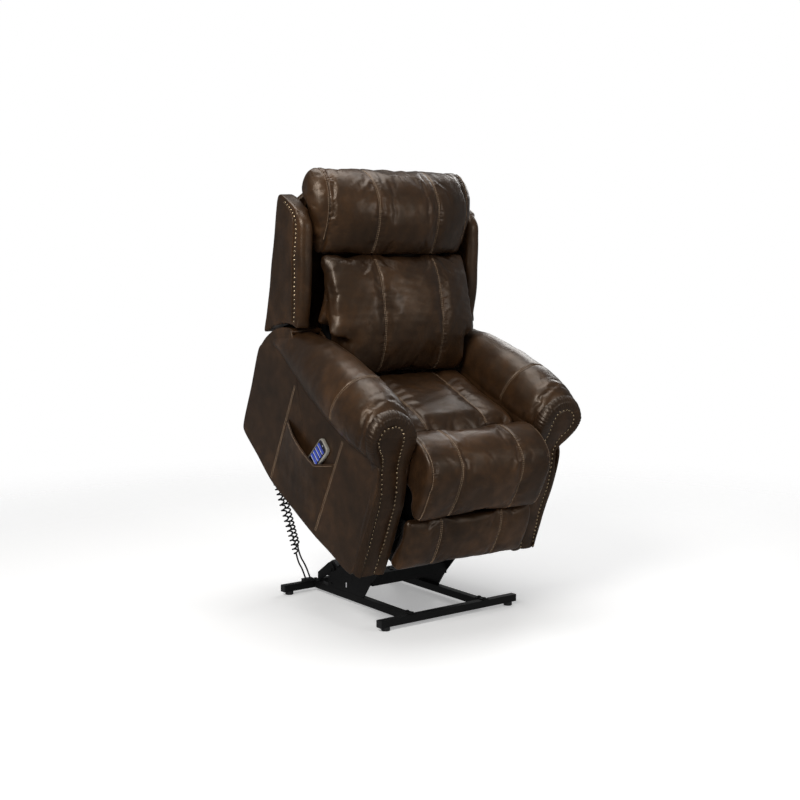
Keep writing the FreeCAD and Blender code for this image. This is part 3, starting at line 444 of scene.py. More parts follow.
def leather(name, dark, mid, light, rough=0.34, grain=1.0, seed=0.0):
    m, nt, b = new_mat(name)
    L = nt.links.new
    tc = node(nt, "ShaderNodeTexCoord")
    mp = node(nt, "ShaderNodeMapping")
    mp.inputs["Location"].default_value = (seed, seed * 0.7, seed * 1.3)
    L(tc.outputs["Object"], mp.inputs["Vector"])
    big = node(nt, "ShaderNodeTexNoise", Scale=3.2, Detail=4.0, Roughness=0.62)
    fine = node(nt, "ShaderNodeTexNoise", Scale=26.0, Detail=6.0, Roughness=0.68)
    for t in (big, fine):
        L(mp.outputs[0], t.inputs["Vector"])
    mixf = node(nt, "ShaderNodeMix", data_type="FLOAT")
    mixf.inputs[0].default_value = 0.34
    L(big.outputs["Fac"], mixf.inputs[2])
    L(fine.outputs["Fac"], mixf.inputs[3])
    cr = ramp(nt, [(0.30, dark), (0.50, mid), (0.70, light)])
    L(mixf.outputs[0], cr.inputs[0])
    # burnish with painted light: rubbed edges are lighter, partly wear and partly a painted highlight; folds and
    # recesses are darker, painted shade
    geo = node(nt, "ShaderNodeNewGeometry")
    wear_shade_highlight_ramp = ramp(nt, [(0.44, (0.45, 0.42, 0.40)), (0.50, (1, 1, 1)), (0.60, (1.55, 1.42, 1.30))])
    L(geo.outputs["Pointiness"], wear_shade_highlight_ramp.inputs[0])
    # multiplies the painted shade in folds and the painted highlight on edges into the leather colour
    wear_shade_highlight_mix = node(nt, "ShaderNodeMix", data_type="RGBA", blend_type="MULTIPLY")
    wear_shade_highlight_mix.inputs[0].default_value = 0.85
    L(cr.outputs[0], wear_shade_highlight_mix.inputs[6])
    L(wear_shade_highlight_ramp.outputs[0], wear_shade_highlight_mix.inputs[7])
    L(wear_shade_highlight_mix.outputs[2], b.inputs["Base Color"])
    # roughness wanders with the finish
    rr = node(nt, "ShaderNodeMapRange")
    rr.inputs["From Min"].default_value = 0.3
    rr.inputs["From Max"].default_value = 0.7
    rr.inputs["To Min"].default_value = rough + 0.07
    rr.inputs["To Max"].default_value = rough - 0.06
    L(fine.outputs["Fac"], rr.inputs["Value"])
    L(rr.outputs[0], b.inputs["Roughness"])
    # grain: pebbles, pores and soft creases
    vor = node(nt, "ShaderNodeTexVoronoi", Scale=430.0)
    vor.feature = "DISTANCE_TO_EDGE"
    warpn = node(nt, "ShaderNodeTexNoise", Scale=120.0, Detail=2.0)
    L(mp.outputs[0], warpn.inputs["Vector"])
    add = node(nt, "ShaderNodeMix", data_type="RGBA", blend_type="LINEAR_LIGHT")
    add.inputs[0].default_value = 0.012
    L(mp.outputs[0], add.inputs[6])
    L(warpn.outputs["Color"], add.inputs[7])
    L(add.outputs[2], vor.inputs["Vector"])
    vr = ramp(nt, [(0.0, (0, 0, 0)), (0.10, (0.8, 0.8, 0.8)), (0.4, (1, 1, 1))])
    L(vor.outputs["Distance"], vr.inputs[0])
    crease = node(nt, "ShaderNodeTexNoise", Scale=34.0, Detail=5.0, Roughness=0.55)
    crease.inputs["Distortion"].default_value = 0.6
    L(mp.outputs[0], crease.inputs["Vector"])
    b1 = node(nt, "ShaderNodeBump", Strength=0.16 * grain, Distance=0.0008)
    L(vr.outputs[0], b1.inputs["Height"])
    b2 = node(nt, "ShaderNodeBump", Strength=0.13 * grain, Distance=0.0030)
    L(crease.outputs["Fac"], b2.inputs["Height"])
    L(b1.outputs[0], b2.inputs["Normal"])
    L(b2.outputs[0], b.inputs["Normal"])
    b.inputs["Specular IOR Level"].default_value = 0.55
    b.inputs["Specular Tint"].default_value = (1.0, 0.80, 0.62, 1.0)
    b.inputs["Coat Weight"].default_value = 0.16
    b.inputs["Coat Roughness"].default_value = 0.24
    return m


def plain(name, colour, rough, metal=0.0, bump=0.0, scale=300.0, vary=0.15, edge=0.0, coat=0.0, spec=0.5):
    m, nt, b = new_mat(name)
    L = nt.links.new
    tc = node(nt, "ShaderNodeTexCoord")
    n1 = node(nt, "ShaderNodeTexNoise", Scale=scale, Detail=4.0, Roughness=0.6)
    n2 = node(nt, "ShaderNodeTexNoise", Scale=9.0, Detail=4.0, Roughness=0.6)
    L(tc.outputs["Object"], n1.inputs["Vector"])
    L(tc.outputs["Object"], n2.inputs["Vector"])
    lo = tuple(c * (1 - vary) for c in colour)
    hi = tuple(min(1.0, c * (1 + vary)) for c in colour)
    cr = ramp(nt, [(0.3, lo), (0.7, hi)])
    L(n2.outputs["Fac"], cr.inputs[0])
    L(cr.outputs[0], b.inputs["Base Color"])
    rr = node(nt, "ShaderNodeMapRange")
    rr.inputs["To Min"].default_value = rough - 0.05
    rr.inputs["To Max"].default_value = rough + 0.08
    L(n2.outputs["Fac"], rr.inputs["Value"])
    L(rr.outputs[0], b.inputs["Roughness"])
    b.inputs["Metallic"].default_value = metal
    b.inputs["Coat Weight"].default_value = coat
    b.inputs["Specular IOR Level"].default_value = spec
    src = None
    if edge > 0:
        bev = node(nt, "ShaderNodeBevel", samples=4)
        bev.inputs["Radius"].default_value = edge
        src = bev.outputs[0]
    if bump > 0:
        bp = node(nt, "ShaderNodeBump", Strength=bump, Distance=0.0004)
        L(n1.outputs["Fac"], bp.inputs["Height"])
        if src is not None:
            L(src, bp.inputs["Normal"])
        src = bp.outputs[0]
    if src is not None:
        L(src, b.inputs["Normal"])
    return m


M_LEATHER = leather("leather_brown", (0.0100, 0.0050, 0.0025), (0.032, 0.0152, 0.0064), (0.080, 0.0375, 0.0150))
# a darker copy of the same leather for the arm facings: painted shade on the front panels
M_LEATHER_SHADED = leather("leather_facing_shaded", (0.0090, 0.0046, 0.0024), (0.026, 0.0127, 0.0058), (0.060, 0.029, 0.0122), seed=3.0)
M_THREAD = plain("thread_tan", (0.48, 0.33, 0.21), 0.7, bump=0.3, scale=900.0)
M_NAIL = plain("nail_antique_brass", (0.62, 0.47, 0.30), 0.25, metal=1.0, bump=0.15, scale=500.0, vary=0.35)
M_STEEL = plain("steel_black_powder", (0.0055, 0.0055, 0.0058), 0.46, bump=0.3, scale=900.0, edge=0.0016, spec=0.28)
M_BRIGHT = plain("steel_bright", (0.50, 0.50, 0.52), 0.28, metal=1.0, bump=0.1, scale=600.0, edge=0.0008)
M_PLASTIC = plain("plastic_black", (0.014, 0.014, 0.015), 0.48, bump=0.3, scale=700.0, edge=0.001)
M_WOOD = plain("plywood", (0.42, 0.29, 0.17), 0.7, bump=0.5, scale=60.0, vary=0.3)
M_SPRING = plain("spring_steel", (0.18, 0.18, 0.19), 0.4, metal=1.0)
M_CORD = plain("cord_black", (0.006, 0.006, 0.007), 0.35, bump=0.1, scale=500.0, spec=0.35)
M_CASE = plain("handset_shell", (0.40, 0.38, 0.33), 0.38, bump=0.12, scale=900.0, coat=0.1)
M_DARK = plain("handset_window", (0.010, 0.010, 0.022), 0.15, vary=0.1, coat=0.5)
M_KEY = plain("key_blue", (0.045, 0.085, 0.55), 0.30, bump=0.05, scale=500.0, vary=0.25, coat=0.4)
M_BAR = plain("key_bar_white", (0.75, 0.78, 0.90), 0.35, vary=0.05)
M_LINING = plain("dust_cloth", (0.007, 0.0065, 0.006), 0.9, bump=0.6, scale=1500.0, spec=0.1)


def paint(o, m):
    o.data.materials.clear()
    o.data.materials.append(m)
    return o


for name, o in frame["nodes"].items():
    if name.startswith(("base_", "rail_", "lift_arm", "front_link", "torque", "lift_frame", "back_hinge", "legrest_rear", "legrest_front", "lift_motor_bracket")):
        paint(o, M_STEEL)
    if name in ("base_pivot_pins", "lift_rod", "recline_rod"):
        paint(o, M_BRIGHT)
    if name in ("base_end_caps", "glide_feet", "cord_clip", "cord_grommets", "lift_motor", "recline_motor"):
        paint(o, M_PLASTIC)
    if name in ("arm_frame_left", "arm_frame_right", "seat_box_frame", "back_frame", "legrest_board"):
        paint(o, M_LINING)
    if name == "seat_springs":
        paint(o, M_SPRING)

# ------------------------------------------------------------------ headrest
HEAD = [(735, 784), (722, 826), (727, 885), (744, 938), (780, 988), (835, 1020), (903, 1029), (950, 1014), (966, 978), (958, 930), (925, 900), (860, 880), (790, 800)]
SEAMS = (-128.0, 128.0)


def seam_pin(lines, tol=3.5):
    def f(co):
        w = np.zeros(len(co))
        for x in lines:
            w[np.abs(co[:, 0] - x) < tol + 0.8] = 1.0
        return w
    return f


def finish_pillow(o, prof, lines, depth=3.2, width=3.6, ends=(), ruche=None, span=None, crown=6.0, seed=1, wob=0.8):
    """Seams pressed in with puckers beside them, fine unevenness over the cover, gathers beside the end seams."""
    co = get_co(o) * 1000.0
    no = get_no(o)
    P = curve(prof, 260)
    s = profile_param(P, co[:, 1:3])
    # fine unevenness of filled leather
    co = co + no * (wob * waves(co, 95.0, seed) + 0.45 * wob * waves(co, 38.0, seed + 1))[:, None]
    for x in lines:
        dist = np.abs(co[:, 0] - x)
        co = groove(co, no, dist, depth, width)
        # puckers that run out from the seam
        amp = 0.55 * np.exp(-((dist - 9) / 9.0) ** 2)
        co = co + no * (amp * np.sin(2 * math.pi * s / (17.0 + 3 * np.sin(s / 61.0)) + seed))[:, None]
    for x in ends:
        dist = np.abs(co[:, 0] - x)
        co = groove(co, no, dist, depth, width * 0.8)
        if ruche:
            amp0, reach, pitch, lo, hi = ruche
            inner = (np.sign(x) * (x - co[:, 0])) > -0.5
            fall = np.exp(-np.clip(dist, 0, None) / reach) * inner
            gate = np.clip((s - lo) / 60.0, 0, 1) * np.clip((hi - s) / 60.0, 0, 1)
            ph = 2 * math.pi * (s + 2.6 * np.sin(s / 23.0) + 1.9 * np.sin(s / 9.7 + 1.0)) / pitch
            co = co + no * (amp0 * fall * gate * np.sin(ph) * (0.7 + 0.5 * np.sin(s / 37.0 + seed)))[:, None]
    set_co(o, co * MM)
    return o, P, s


def seam_rows(key, tree, P, x, i0, i1, off=2.9, lift=70.0, single=False, **kw):
    """Two rows of thread beside a seam that runs round the profile between two of its points."""
    N = outward(P)
    n = len(P)
    idx = [i % n for i in range(i0, i1 + 1)]
    for side in ((-1, 1) if not single else (1,)):
        g = np.array([[x + side * off, P[i][0] + N[i][0] * lift, P[i][1] + N[i][1] * lift] for i in idx])
        d = np.array([[0, -N[i][0], -N[i][1]] for i in idx])
        pts, nr = trace(tree, g, d)
        stitches(key, pts, nr, **kw)


def nearest(P, d, h):
    return int(np.argmin((P[:, 0] - d) ** 2 + (P[:, 1] - h) ** 2))


def ordered(P, a, b, via):
    """Index range along a closed profile from a to b that passes via."""
    n = len(P)
    i, j, k = nearest(P, *a), nearest(P, *b), nearest(P, *via)
    if (k - i) % n <= (j - i) % n:
        return i, i + (j - i) % n
    return j, j + (i - j) % n


def shrink_prof(prof, by, n=64):
    P = curve(prof, n)
    return P - outward(P) * by


VOX = 8.0


def soft(o, vox=None, pressure=4.0, cap=10.0, pin=None, frames=16, shrink=0.0, sub=True, smooth=3):
    remesh(o, (vox or VOX))
    relax(o, smooth)
    puff(o, pressure, cap, pin, frames, shrink)
    if sub:
        subdivide(o, 1)
    elif sub:
        subdivide(o, 1)
    return o


def barrel(ring, d0, d1, deep, power=2.4, at=300.0, low=None):
    """The front of a back cushion falls away towards its ends."""
    r = ring.copy()
    w = np.clip((d1 - r[:, 1]) / (d1 - d0), 0, 1)
    fall = deep * (np.abs(r[:, 0]) / at) ** power
    if low is not None:
        fall = fall * (0.35 + 0.65 * np.clip((r[:, 2] - low[0]) / (low[1] - low[0]), 0, 1))
    r[:, 1] += TC * fall * w
    r[:, 2] -= TS * fall * w
    return r


def head_warp(ring):
    r = ring.copy()
    t = np.clip((r[:, 2] - 885.0) / 55.0, 0, 1)
    t = t * t * (3 - 2 * t)
    half = 328.0 + 18.0 * t
    a = np.abs(r[:, 0])
    k = np.where(a > 220, 220 + (a - 220) * (half - 220) / (346.0 - 220.0), a)
    r[:, 0] = np.sign(r[:, 0]) * k
    return barrel(r, 725.0, 960.0, 74.0)


head = pillow("headrest_cover", shrink_prof(HEAD, 3.0), -346.0, 346.0, 52.0, p=2.0, warp=head_warp)
soft(head, cap=11.0, pin=seam_pin((-298, -128, 128, 298)), shrink=-0.03)
head, HP, hs = finish_pillow(head, HEAD, SEAMS, ends=(-298.0, 298.0), ruche=(2.0, 20.0, 9.5, -1e9, 1e9), seed=11, crown=7)
tree = bvh_mm(head)
i0, i1 = ordered(HP, (735, 790), (925, 1026), (744, 938))
for x in SEAMS:
    seam_rows("head", tree, HP, x, i0, i1)
for x in (-301.5, 301.5):
    seam_rows("head", tree, HP, x, i0, i1, single=True, off=0.0)

# ------------------------------------------------------------------ lumbar cushion
LUMB = [(531, 430), (512, 470), (517, 545), (544, 625), (573, 668), (613, 718), (661, 765), (718, 793), (758, 784), (752, 730), (716, 600), (672, 470), (640, 430), (590, 420)]


def lum_warp(ring):
    r = ring.copy()
    top = np.interp(r[:, 1], [400, 550, 700, 740, 800], [588, 564, 515, 498, 460])
    rad = np.hypot(r[:, 1] - 630.0, r[:, 2] - 280.0)
    t = np.clip(np.minimum((r[:, 2] - top - 1.0) / 14.0, (rad - 266.0) / 12.0), 0, 1)
    t = t * t * (3 - 2 * t)
    half = 253.0 + (314.0 - 253.0) * t
    a = np.abs(r[:, 0])
    k = np.where(a > 150, 150 + (a - 150) * (half - 150) / (314.0 - 150.0), a)
    r[:, 0] = np.sign(r[:, 0]) * k
    front = np.interp(r[:, 2], [430, 470, 545, 625, 668, 715, 757], [520, 512, 517, 544, 573, 615, 665])
    w = np.clip((front + 150.0 - r[:, 1]) / 150.0, 0, 1)
    fall = 72.0 * (np.abs(r[:, 0]) / 300.0) ** 2.4 * (0.15 + 0.85 * np.clip((r[:, 2] - 480.0) / 160.0, 0, 1))
    r[:, 1] += TC * fall * w
    r[:, 2] -= TS * fall * w
    return r


lum = pillow("lumbar_cover", shrink_prof(LUMB, 3.0), -314.0, 314.0, 34.0, warp=lum_warp)
soft(lum, cap=12.0, pin=seam_pin((-125, 125)), shrink=-0.02)
lum, LP, ls = finish_pillow(lum, LUMB, (-125.0, 125.0), seed=23, wob=0.9)
# a gathered dimple half way up each side, and the side seam
co, no = get_co(lum) * 1000.0, get_no(lum)
for sx in (-1, 1):
    side = np.exp(-(((co[:, 0] * sx - 303) / 13.0) ** 2))
    dd = np.hypot(co[:, 1] - 585, co[:, 2] - 640)
    co = co - no * (5.0 * side * np.exp(-((dd / 16.0) ** 2)))[:, None]
    dist = np.abs(co[:, 0] * sx - np.where(co[:, 2] > 600, 308.0, 1e4))
    co = groove(co, no, dist, 2.4, 3.2)
set_co(lum, co * MM)
tree = bvh_mm(lum)
i0, i1 = ordered(LP, (522, 440), (722, 783), (544, 625))
for x in (-125.0, 125.0):
    seam_rows("lumbar", tree, LP, x, i0, i1)

# ------------------------------------------------------------------ seat
DECK = [(172, 300), (172, 400), (186, 436), (235, 448), (330, 446), (420, 440), (505, 432), (552, 420), (562, 380), (560, 300), (360, 297)]
deck = pillow("seat_deck_cover", shrink_prof(DECK, 5.0), -260.0, 260.0, 26.0)
soft(deck, cap=11.0, pin=seam_pin((-130, 130)), shrink=-0.02)
deck, DP, _ = finish_pillow(deck, DECK, (-130.0, 130.0), seed=31, wob=0.8)
tree = bvh_mm(deck)
i0, i1 = ordered(DP, (186, 436), (560, 415), (330, 446))
for x in (-130.0, 130.0):
    seam_rows("deck", tree, DP, x, i0, i1)

FRONT = [(168, 300), (172, 400), (166, 440), (140, 464), (100, 474), (55, 473), (12, 462), (-26, 436), (-45, 398), (-51, 345), (-51, 290), (-47, 248), (-36, 229), (-14, 228), (2, 240), (20, 258), (30, 298), (100, 300)]
front = pillow("seat_front_cover", shrink_prof(FRONT, 4.0), -262.0, 262.0, 17.0, p=2.4)
soft(front, cap=11.0, pin=seam_pin((-130, 130, -258, 258)), shrink=-0.02)
front, FP, _ = finish_pillow(front, FRONT, (-130.0, 130.0), ends=(-252.0, 252.0), ruche=(1.6, 11.0, 8.5, -1e9, 1e9), seed=41, wob=0.8)
tree = bvh_mm(front)
i0, i1 = ordered(FP, (160, 448), (-34, 238), (-45, 398))
for x in (-130.0, 130.0):
    seam_rows("front", tree, FP, x, i0, i1)
for x in (-249.0, 249.0):
    seam_rows("front", tree, FP, x, i0, i1, single=True, off=0.0)
# thread along the cross seam
for d0, up in ((160.0, 30.0),):
    xs = np.linspace(-240, 240, 90)
    pts, nr = trace(tree, np.column_stack([xs, np.full(90, d0), np.full(90, 520.0)]), np.tile([0, 0.25, -1.0], (90, 1)))
    stitches("front", pts, nr)

# ------------------------------------------------------------------ legrest pad
LEG = [(10, 34), (10, 120), (9, 206), (2, 217), (-14, 217), (-28, 202), (-42, 160), (-48, 108), (-48, 66), (-42, 38), (-28, 26), (2, 27)]
leg = pillow("legrest_cover", shrink_prof(LEG, 2.5), -268.0, 268.0, 15.0)
soft(leg, vox=7.0, cap=6.0, pin=seam_pin((-130, 130)), shrink=-0.015)
leg, GP, _ = finish_pillow(leg, LEG, (-130.0, 130.0), seed=51, wob=0.5, depth=2.4)
tree = bvh_mm(leg)
i0, i1 = ordered(GP, (-14, 216), (-42, 38), (-48, 108))
for x in (-130.0, 130.0):
    seam_rows("leg", tree, GP, x, i0, i1)

# ------------------------------------------------------------------ arms
def dfront(h):
    return np.interp(h, [0, 83, 177, 251, 300, 345, 371, 407, 456, 500, 540, 590], [0, 12, 24, 31, 42, 60, 72, 74, 72, 76, 90, 112])


def bottom(d):
    return np.interp(d, [0, 60, 100, 165, 264, 443, 580, 827], [2, -21, -23, -26, -34, -34, -31, 27])


A_D = [72, 100, 150, 250, 400, 550, 700, 740, 780, 815, 840]


def roll_ring(d, n=96):
    top = np.interp(d, A_D, [566, 580, 592, 599, 588, 564, 515, 498, 474, 444, 418])
    low = np.interp(d, [72, 123, 243, 370, 506, 638, 700, 780, 840], [398, 388, 375, 368, 366, 371, 376, 380, 384])
    xc = np.interp(d, [72, 100, 250, 400, 700, 760, 840], [361, 363, 363, 356, 338, 336, 334])
    rx = np.interp(d, A_D, [89, 95, 100, 102, 95, 84, 70, 65, 61, 58, 56])
    mid = low + 0.46 * (top - low)
    a = np.linspace(0, 2 * math.pi, n, endpoint=False)
    ca, sa = np.cos(a), np.sin(a)
    x = xc + rx * np.sign(ca) * np.abs(ca) ** 0.92
    h = np.where(sa > 0, mid + (top - mid) * np.abs(sa) ** 0.96, mid - (mid - low) * np.abs(sa) ** 0.9)
    return x, h


def arm_roll(s):
    rings = []
    body = list(np.arange(112, 824, 12))
    ds = [84, 85.5, 89, 94, 100, 106] + body + [828, 834, 839]
    ins = [22, 16, 10, 4.5, 1.2, 0] + [0] * len(body) + [3, 9, 18]
    for d, e in zip(ds, ins):
        x, h = roll_ring(max(72, min(840, d)))
        P = np.column_stack([x, h])
        P = P - outward(P) * (e + 2.0)
        lean = (dfront(P[:, 1]) - 74.0) * np.clip(1 - (d - 84) / 160.0, 0, 1)
        rings.append(np.column_stack([s * P[:, 0], d + lean, P[:, 1]]))
    return skin("arm_roll_cover", rings)


def side_shell(name, s, xin, xout, outline, rad=9.0, bulge=0.0, seams=()):
    P = np.array(outline, float)
    return pillow(name, P, min(s * xin, s * xout), max(s * xin, s * xout), rad)


ARM_OUT = [(24, 4), (32, -14), (60, -21), (165, -26), (264, -34), (443, -34), (580, -31), (700, -4), (822, 24), (832, 34), (850, 200), (866, 350), (858, 368), (842, 406), (800, 463), (740, 504), (712, 512), (696, 500), (670, 466), (620, 440), (560, 418), (450, 404), (300, 402), (180, 406), (96, 404), (62, 380), (30, 250), (24, 120)]
arm_parts = {}
for side, s in (("left", 1), ("right", -1)):
    roll = arm_roll(s)
    roll.name = "arm_roll_cover_" + side
    # seam across the roll
    ss = lambda co: ((np.abs(co[:, 1] - (295.0 + 0.10 * (480 - co[:, 2]))) < 4.2) | (co[:, 1] - dfront(co[:, 2]) < 34.0)).astype(float)
    soft(roll, cap=8.0, pin=ss, shrink=-0.015)
    co, no = get_co(roll) * 1000.0, get_no(roll)
    co = co + no * (1.0 * waves(co, 120.0, 61 + s) + 0.35 * waves(co, 50.0, 63 + s))[:, None]
    dist = np.abs(co[:, 1] - (295.0 + 0.10 * (480 - co[:, 2])))
    co = groove(co, no, dist, 3.0, 3.8)
    # pleats of the leather drawn over the front edge
    ang = np.arctan2(co[:, 2] - 480, s * co[:, 0] - 362)
    fr = np.clip(1 - (co[:, 1] - 78) / 42.0, 0, 1) * (co[:, 2] > 440)
    co = co + no * (0.6 * fr * np.sin(ang * 42 + 2.2 * np.sin(ang * 4.3)))[:, None]
    set_co(roll, co * MM)
    tree = bvh_mm(roll)
    a = np.linspace(-0.62, 3.5, 150)
    for off in (-3.4, 3.4):
        g, dr = [], []
        for t in a:
            hh = 480 + 200 * math.sin(t)
            xx = s * (360 + 200 * math.cos(t))
            g.append([xx, 295.0 + off + 0.10 * (480 - (480 + 105 * math.sin(t))), hh])
            dr.append([-s * math.cos(t), 0, -math.sin(t)])
        pts, nr = trace(tree, g, dr)
        stitches("arm_" + side, pts, nr)
    arm_parts[side] = roll

    # inner and outer walls
    wall = pillow("arm_outer_cover_" + side, ARM_OUT, min(s * 384, s * 393.5), max(s * 384, s * 393.5), 4.0, n=260, step=4.0)
    arm_parts["wall_" + side] = wall
    inner = pillow("arm_inner_cover_" + side, [(24, 4), (60, -18), (264, -30), (580, -27), (822, 26), (845, 200), (862, 352), (840, 404), (800, 460), (712, 508), (640, 500), (450, 470), (250, 450), (90, 430), (66, 380), (36, 250), (26, 120)], min(s * 268, s * 277), max(s * 268, s * 277), 4.0, n=200, step=4.0)
    arm_parts["inner_" + side] = inner
    edge = pillow("arm_rear_cover_" + side, [(812, 24), (822, 24), (832, 34), (850, 200), (867, 350), (858, 370), (842, 408), (800, 465), (740, 506), (705, 516), (700, 505), (735, 494), (790, 455), (830, 404), (850, 352), (838, 200), (820, 60)], min(s * 272, s * 392), max(s * 272, s * 392), 3.0, n=220, step=12.0)
    arm_parts["rear_" + side] = edge

# facings: rolled border, a line of nails, an inner panel set a little lower
F_OUT = [(392, -2), (393, 60), (394, 130), (395, 210), (394, 290), (392, 345), (398, 384), (421, 411), (445, 450), (455, 490), (447, 527), (421, 556), (386, 569), (350, 569), (313, 555), (285, 532), (268, 500), (263, 465), (262, 420), (262, 350), (262, 280), (264, 200), (266, 120), (270, 50), (274, -2)]
F_NAIL = [(379, -2), (371, 60), (366, 130), (366, 210), (366, 290), (369, 350), (373, 392), (384, 426), (404, 454), (417, 482), (413, 507), (398, 523), (375, 531), (354, 529), (334, 518), (323, 500), (319, 476), (318, 446), (314, 412), (309, 372), (306, 290), (306, 220), (307, 150), (311, 90), (322, -2)]


def facing(s):
    n = 240
    def dense(C, sub=22):
        C = np.array(C, float)
        m = len(C)
        out = []
        for i in range(m - 1):
            p0 = C[i - 1] if i > 0 else 2 * C[0] - C[1]
            p1, p2 = C[i], C[i + 1]
            p3 = C[i + 2] if i < m - 2 else 2 * C[-1] - C[-2]
            for t in np.linspace(0, 1, sub, endpoint=False):
                out.append(0.5 * ((2 * p1) + (-p0 + p2) * t + (2 * p0 - 5 * p1 + 4 * p2 - p3) * t * t + (-p0 + 3 * p1 - 3 * p2 + p3) * t ** 3))
        out.append(C[-1])
        return np.array(out)
    O, NL = dense(F_OUT), dense(F_NAIL)
    mid = 0.5 * (NL + NL[::-1])
    to = O - NL
    tl = np.linalg.norm(to, axis=1, keepdims=True)
    rings = []

    def ring(P, lift, backset=0.0):
        d = dfront(P[:, 1]) - lift + backset
        rings.append(np.column_stack([s * P[:, 0], d, P[:, 1]]))

    # behind, round the rim, across the border to the nails, over the panel
    inset = lambda k: O - to / tl * k
    rim = inset(8.0)
    for f in (0.0, 0.4, 0.8):
        ring(mid + (rim - mid) * f, 0.0, 44.0)
    ring(inset(8.0), 0.0, 44.0)
    ring(inset(2.0), 0.0, 34.0)
    ring(inset(0.0), 0.0, 22.0)
    for a in np.linspace(0, 90, 13)[1:]:
        r = 14.0
        ring(inset(r * (1 - math.cos(math.radians(a)))), -22.0 + (22.0 + 6.0) * math.sin(math.radians(a)))
    for f, l in ((0.88, 6.2), (0.74, 6.3), (0.62, 6.1), (0.52, 5.6), (0.42, 4.8), (0.33, 3.9), (0.24, 2.9), (0.12, 1.4), (0.04, 0.3)):
        P = NL + to * f * np.minimum(1.0, (tl - 14.0) / tl)
        ring(P, l)
    q = NL - mid
    for f, l in ((1.0, -0.4), (0.93, 0.4), (0.82, 1.6), (0.72, 2.4), (0.62, 3.0), (0.5, 3.5), (0.4, 3.8), (0.3, 4.0), (0.2, 4.2), (0.1, 4.3), (0.0, 4.3)):
        ring(mid + q * f, l)
    m = len(O)
    verts = np.vstack(rings)
    faces = []
    for k in range(len(rings) - 1):
        for i in range(m - 1):
            faces.append((k * m + i, k * m + i + 1, (k + 1) * m + i + 1, (k + 1) * m + i))
    # the two halves of the middle line meet, and the bottom is closed
    o = mesh("arm_facing_cover", verts * MM, faces)
    bm = bmesh.new()
    bm.from_mesh(o.data)
    bmesh.ops.remove_doubles(bm, verts=bm.verts, dist=0.0006)
    edges = [e for e in bm.edges if e.is_boundary]
    bmesh.ops.holes_fill(bm, edges=edges, sides=0)
    bmesh.ops.recalc_face_normals(bm, faces=bm.faces)
    bm.to_mesh(o.data)
    bm.free()
    o.data.polygons.foreach_set("use_smooth", [True] * len(o.data.polygons))
    return o, NL


def nail_heads(name, items, r=4.3, high=2.6):
    """Domed tack heads: (place, normal) in chair mm."""
    prof = [(1.0, -0.35), (1.0, 0.0), (0.93, 0.30), (0.78, 0.58), (0.55, 0.82), (0.28, 0.95), (0.0, 1.0)]
    seg = 12
    verts, faces = [], []
    for c, nn in items:
        nn = nn / np.linalg.norm(nn)
        a = np.cross(nn, [0.31, 0.2, 0.93])
        a /= np.linalg.norm(a)
        b = np.cross(nn, a)
        base = len(verts)
        jit = 1.0 + 0.04 * math.sin(c[2] * 1.7)
        for rr, hh in prof[:-1]:
            for k in range(seg):
                t = 2 * math.pi * k / seg
                verts.append(c + (a * math.cos(t) + b * math.sin(t)) * r * rr * jit + nn * high * hh)
        verts.append(c + nn * high)
        for k in range(len(prof) - 2):
            for i in range(seg):
                j = (i + 1) % seg
                faces.append((base + k * seg + i, base + k * seg + j, base + (k + 1) * seg + j, base + (k + 1) * seg + i))
        tip = base + (len(prof) - 1) * seg
        k = len(prof) - 2
        for i in range(seg):
            faces.append((base + k * seg + i, base + k * seg + (i + 1) % seg, tip))
    return mesh(name, world(np.array(verts)), faces)


arm_nails = []
for side, s in (("left", 1), ("right", -1)):
    f, NL = facing(s)
    f.name = "arm_facing_cover_" + side
    co, no = get_co(f) * 1000.0, get_no(f)
    # gathers where the border turns round the scroll
    ang = np.arctan2(co[:, 2] - 478, s * co[:, 0] - 366)
    rad = np.hypot(co[:, 2] - 478, s * co[:, 0] - 366)
    gate = np.clip((rad - 58) / 12, 0, 1) * np.clip((112 - rad) / 14, 0, 1) * np.clip((co[:, 2] - 430) / 30, 0, 1)
    co = co + no * (0.75 * gate * np.sin(ang * 42 + 2.2 * np.sin(ang * 4.3)) * (0.7 + 0.3 * np.sin(ang * 9.0)) + 0.4 * waves(co, 80.0, 71 + s))[:, None]
    set_co(f, co * MM)
    arm_parts["facing_" + side] = f
    tree = bvh_mm(f)
    line = resample(NL[NL[:, 1] > 6], 400, False)
    L = np.linalg.norm(np.diff(line, axis=0), axis=1).sum()
    k = int(L / 14.5)
    for q in resample(line, k, False):
        r = hit(tree, (s * q[0], -200.0, q[1]), (0, 1, 0))
        if r is not None:
            nn = r[1] if r[1][1] < 0 else -r[1]
            nn = nn * 0.4 + np.array([0, -1.0, 0.0]) * 0.6
            arm_nails.append((r[0], nn))
nails_arm = nail_heads("arm_nails", arm_nails)

# ------------------------------------------------------------------ wings
OB = np.array([630.0, 280.0])


def wing_arc(r, a0, a1, n=6):
    t = np.radians(np.linspace(a0, a1, n))
    return [(OB[0] + r * math.cos(q), OB[1] + r * math.sin(q)) for q in t]


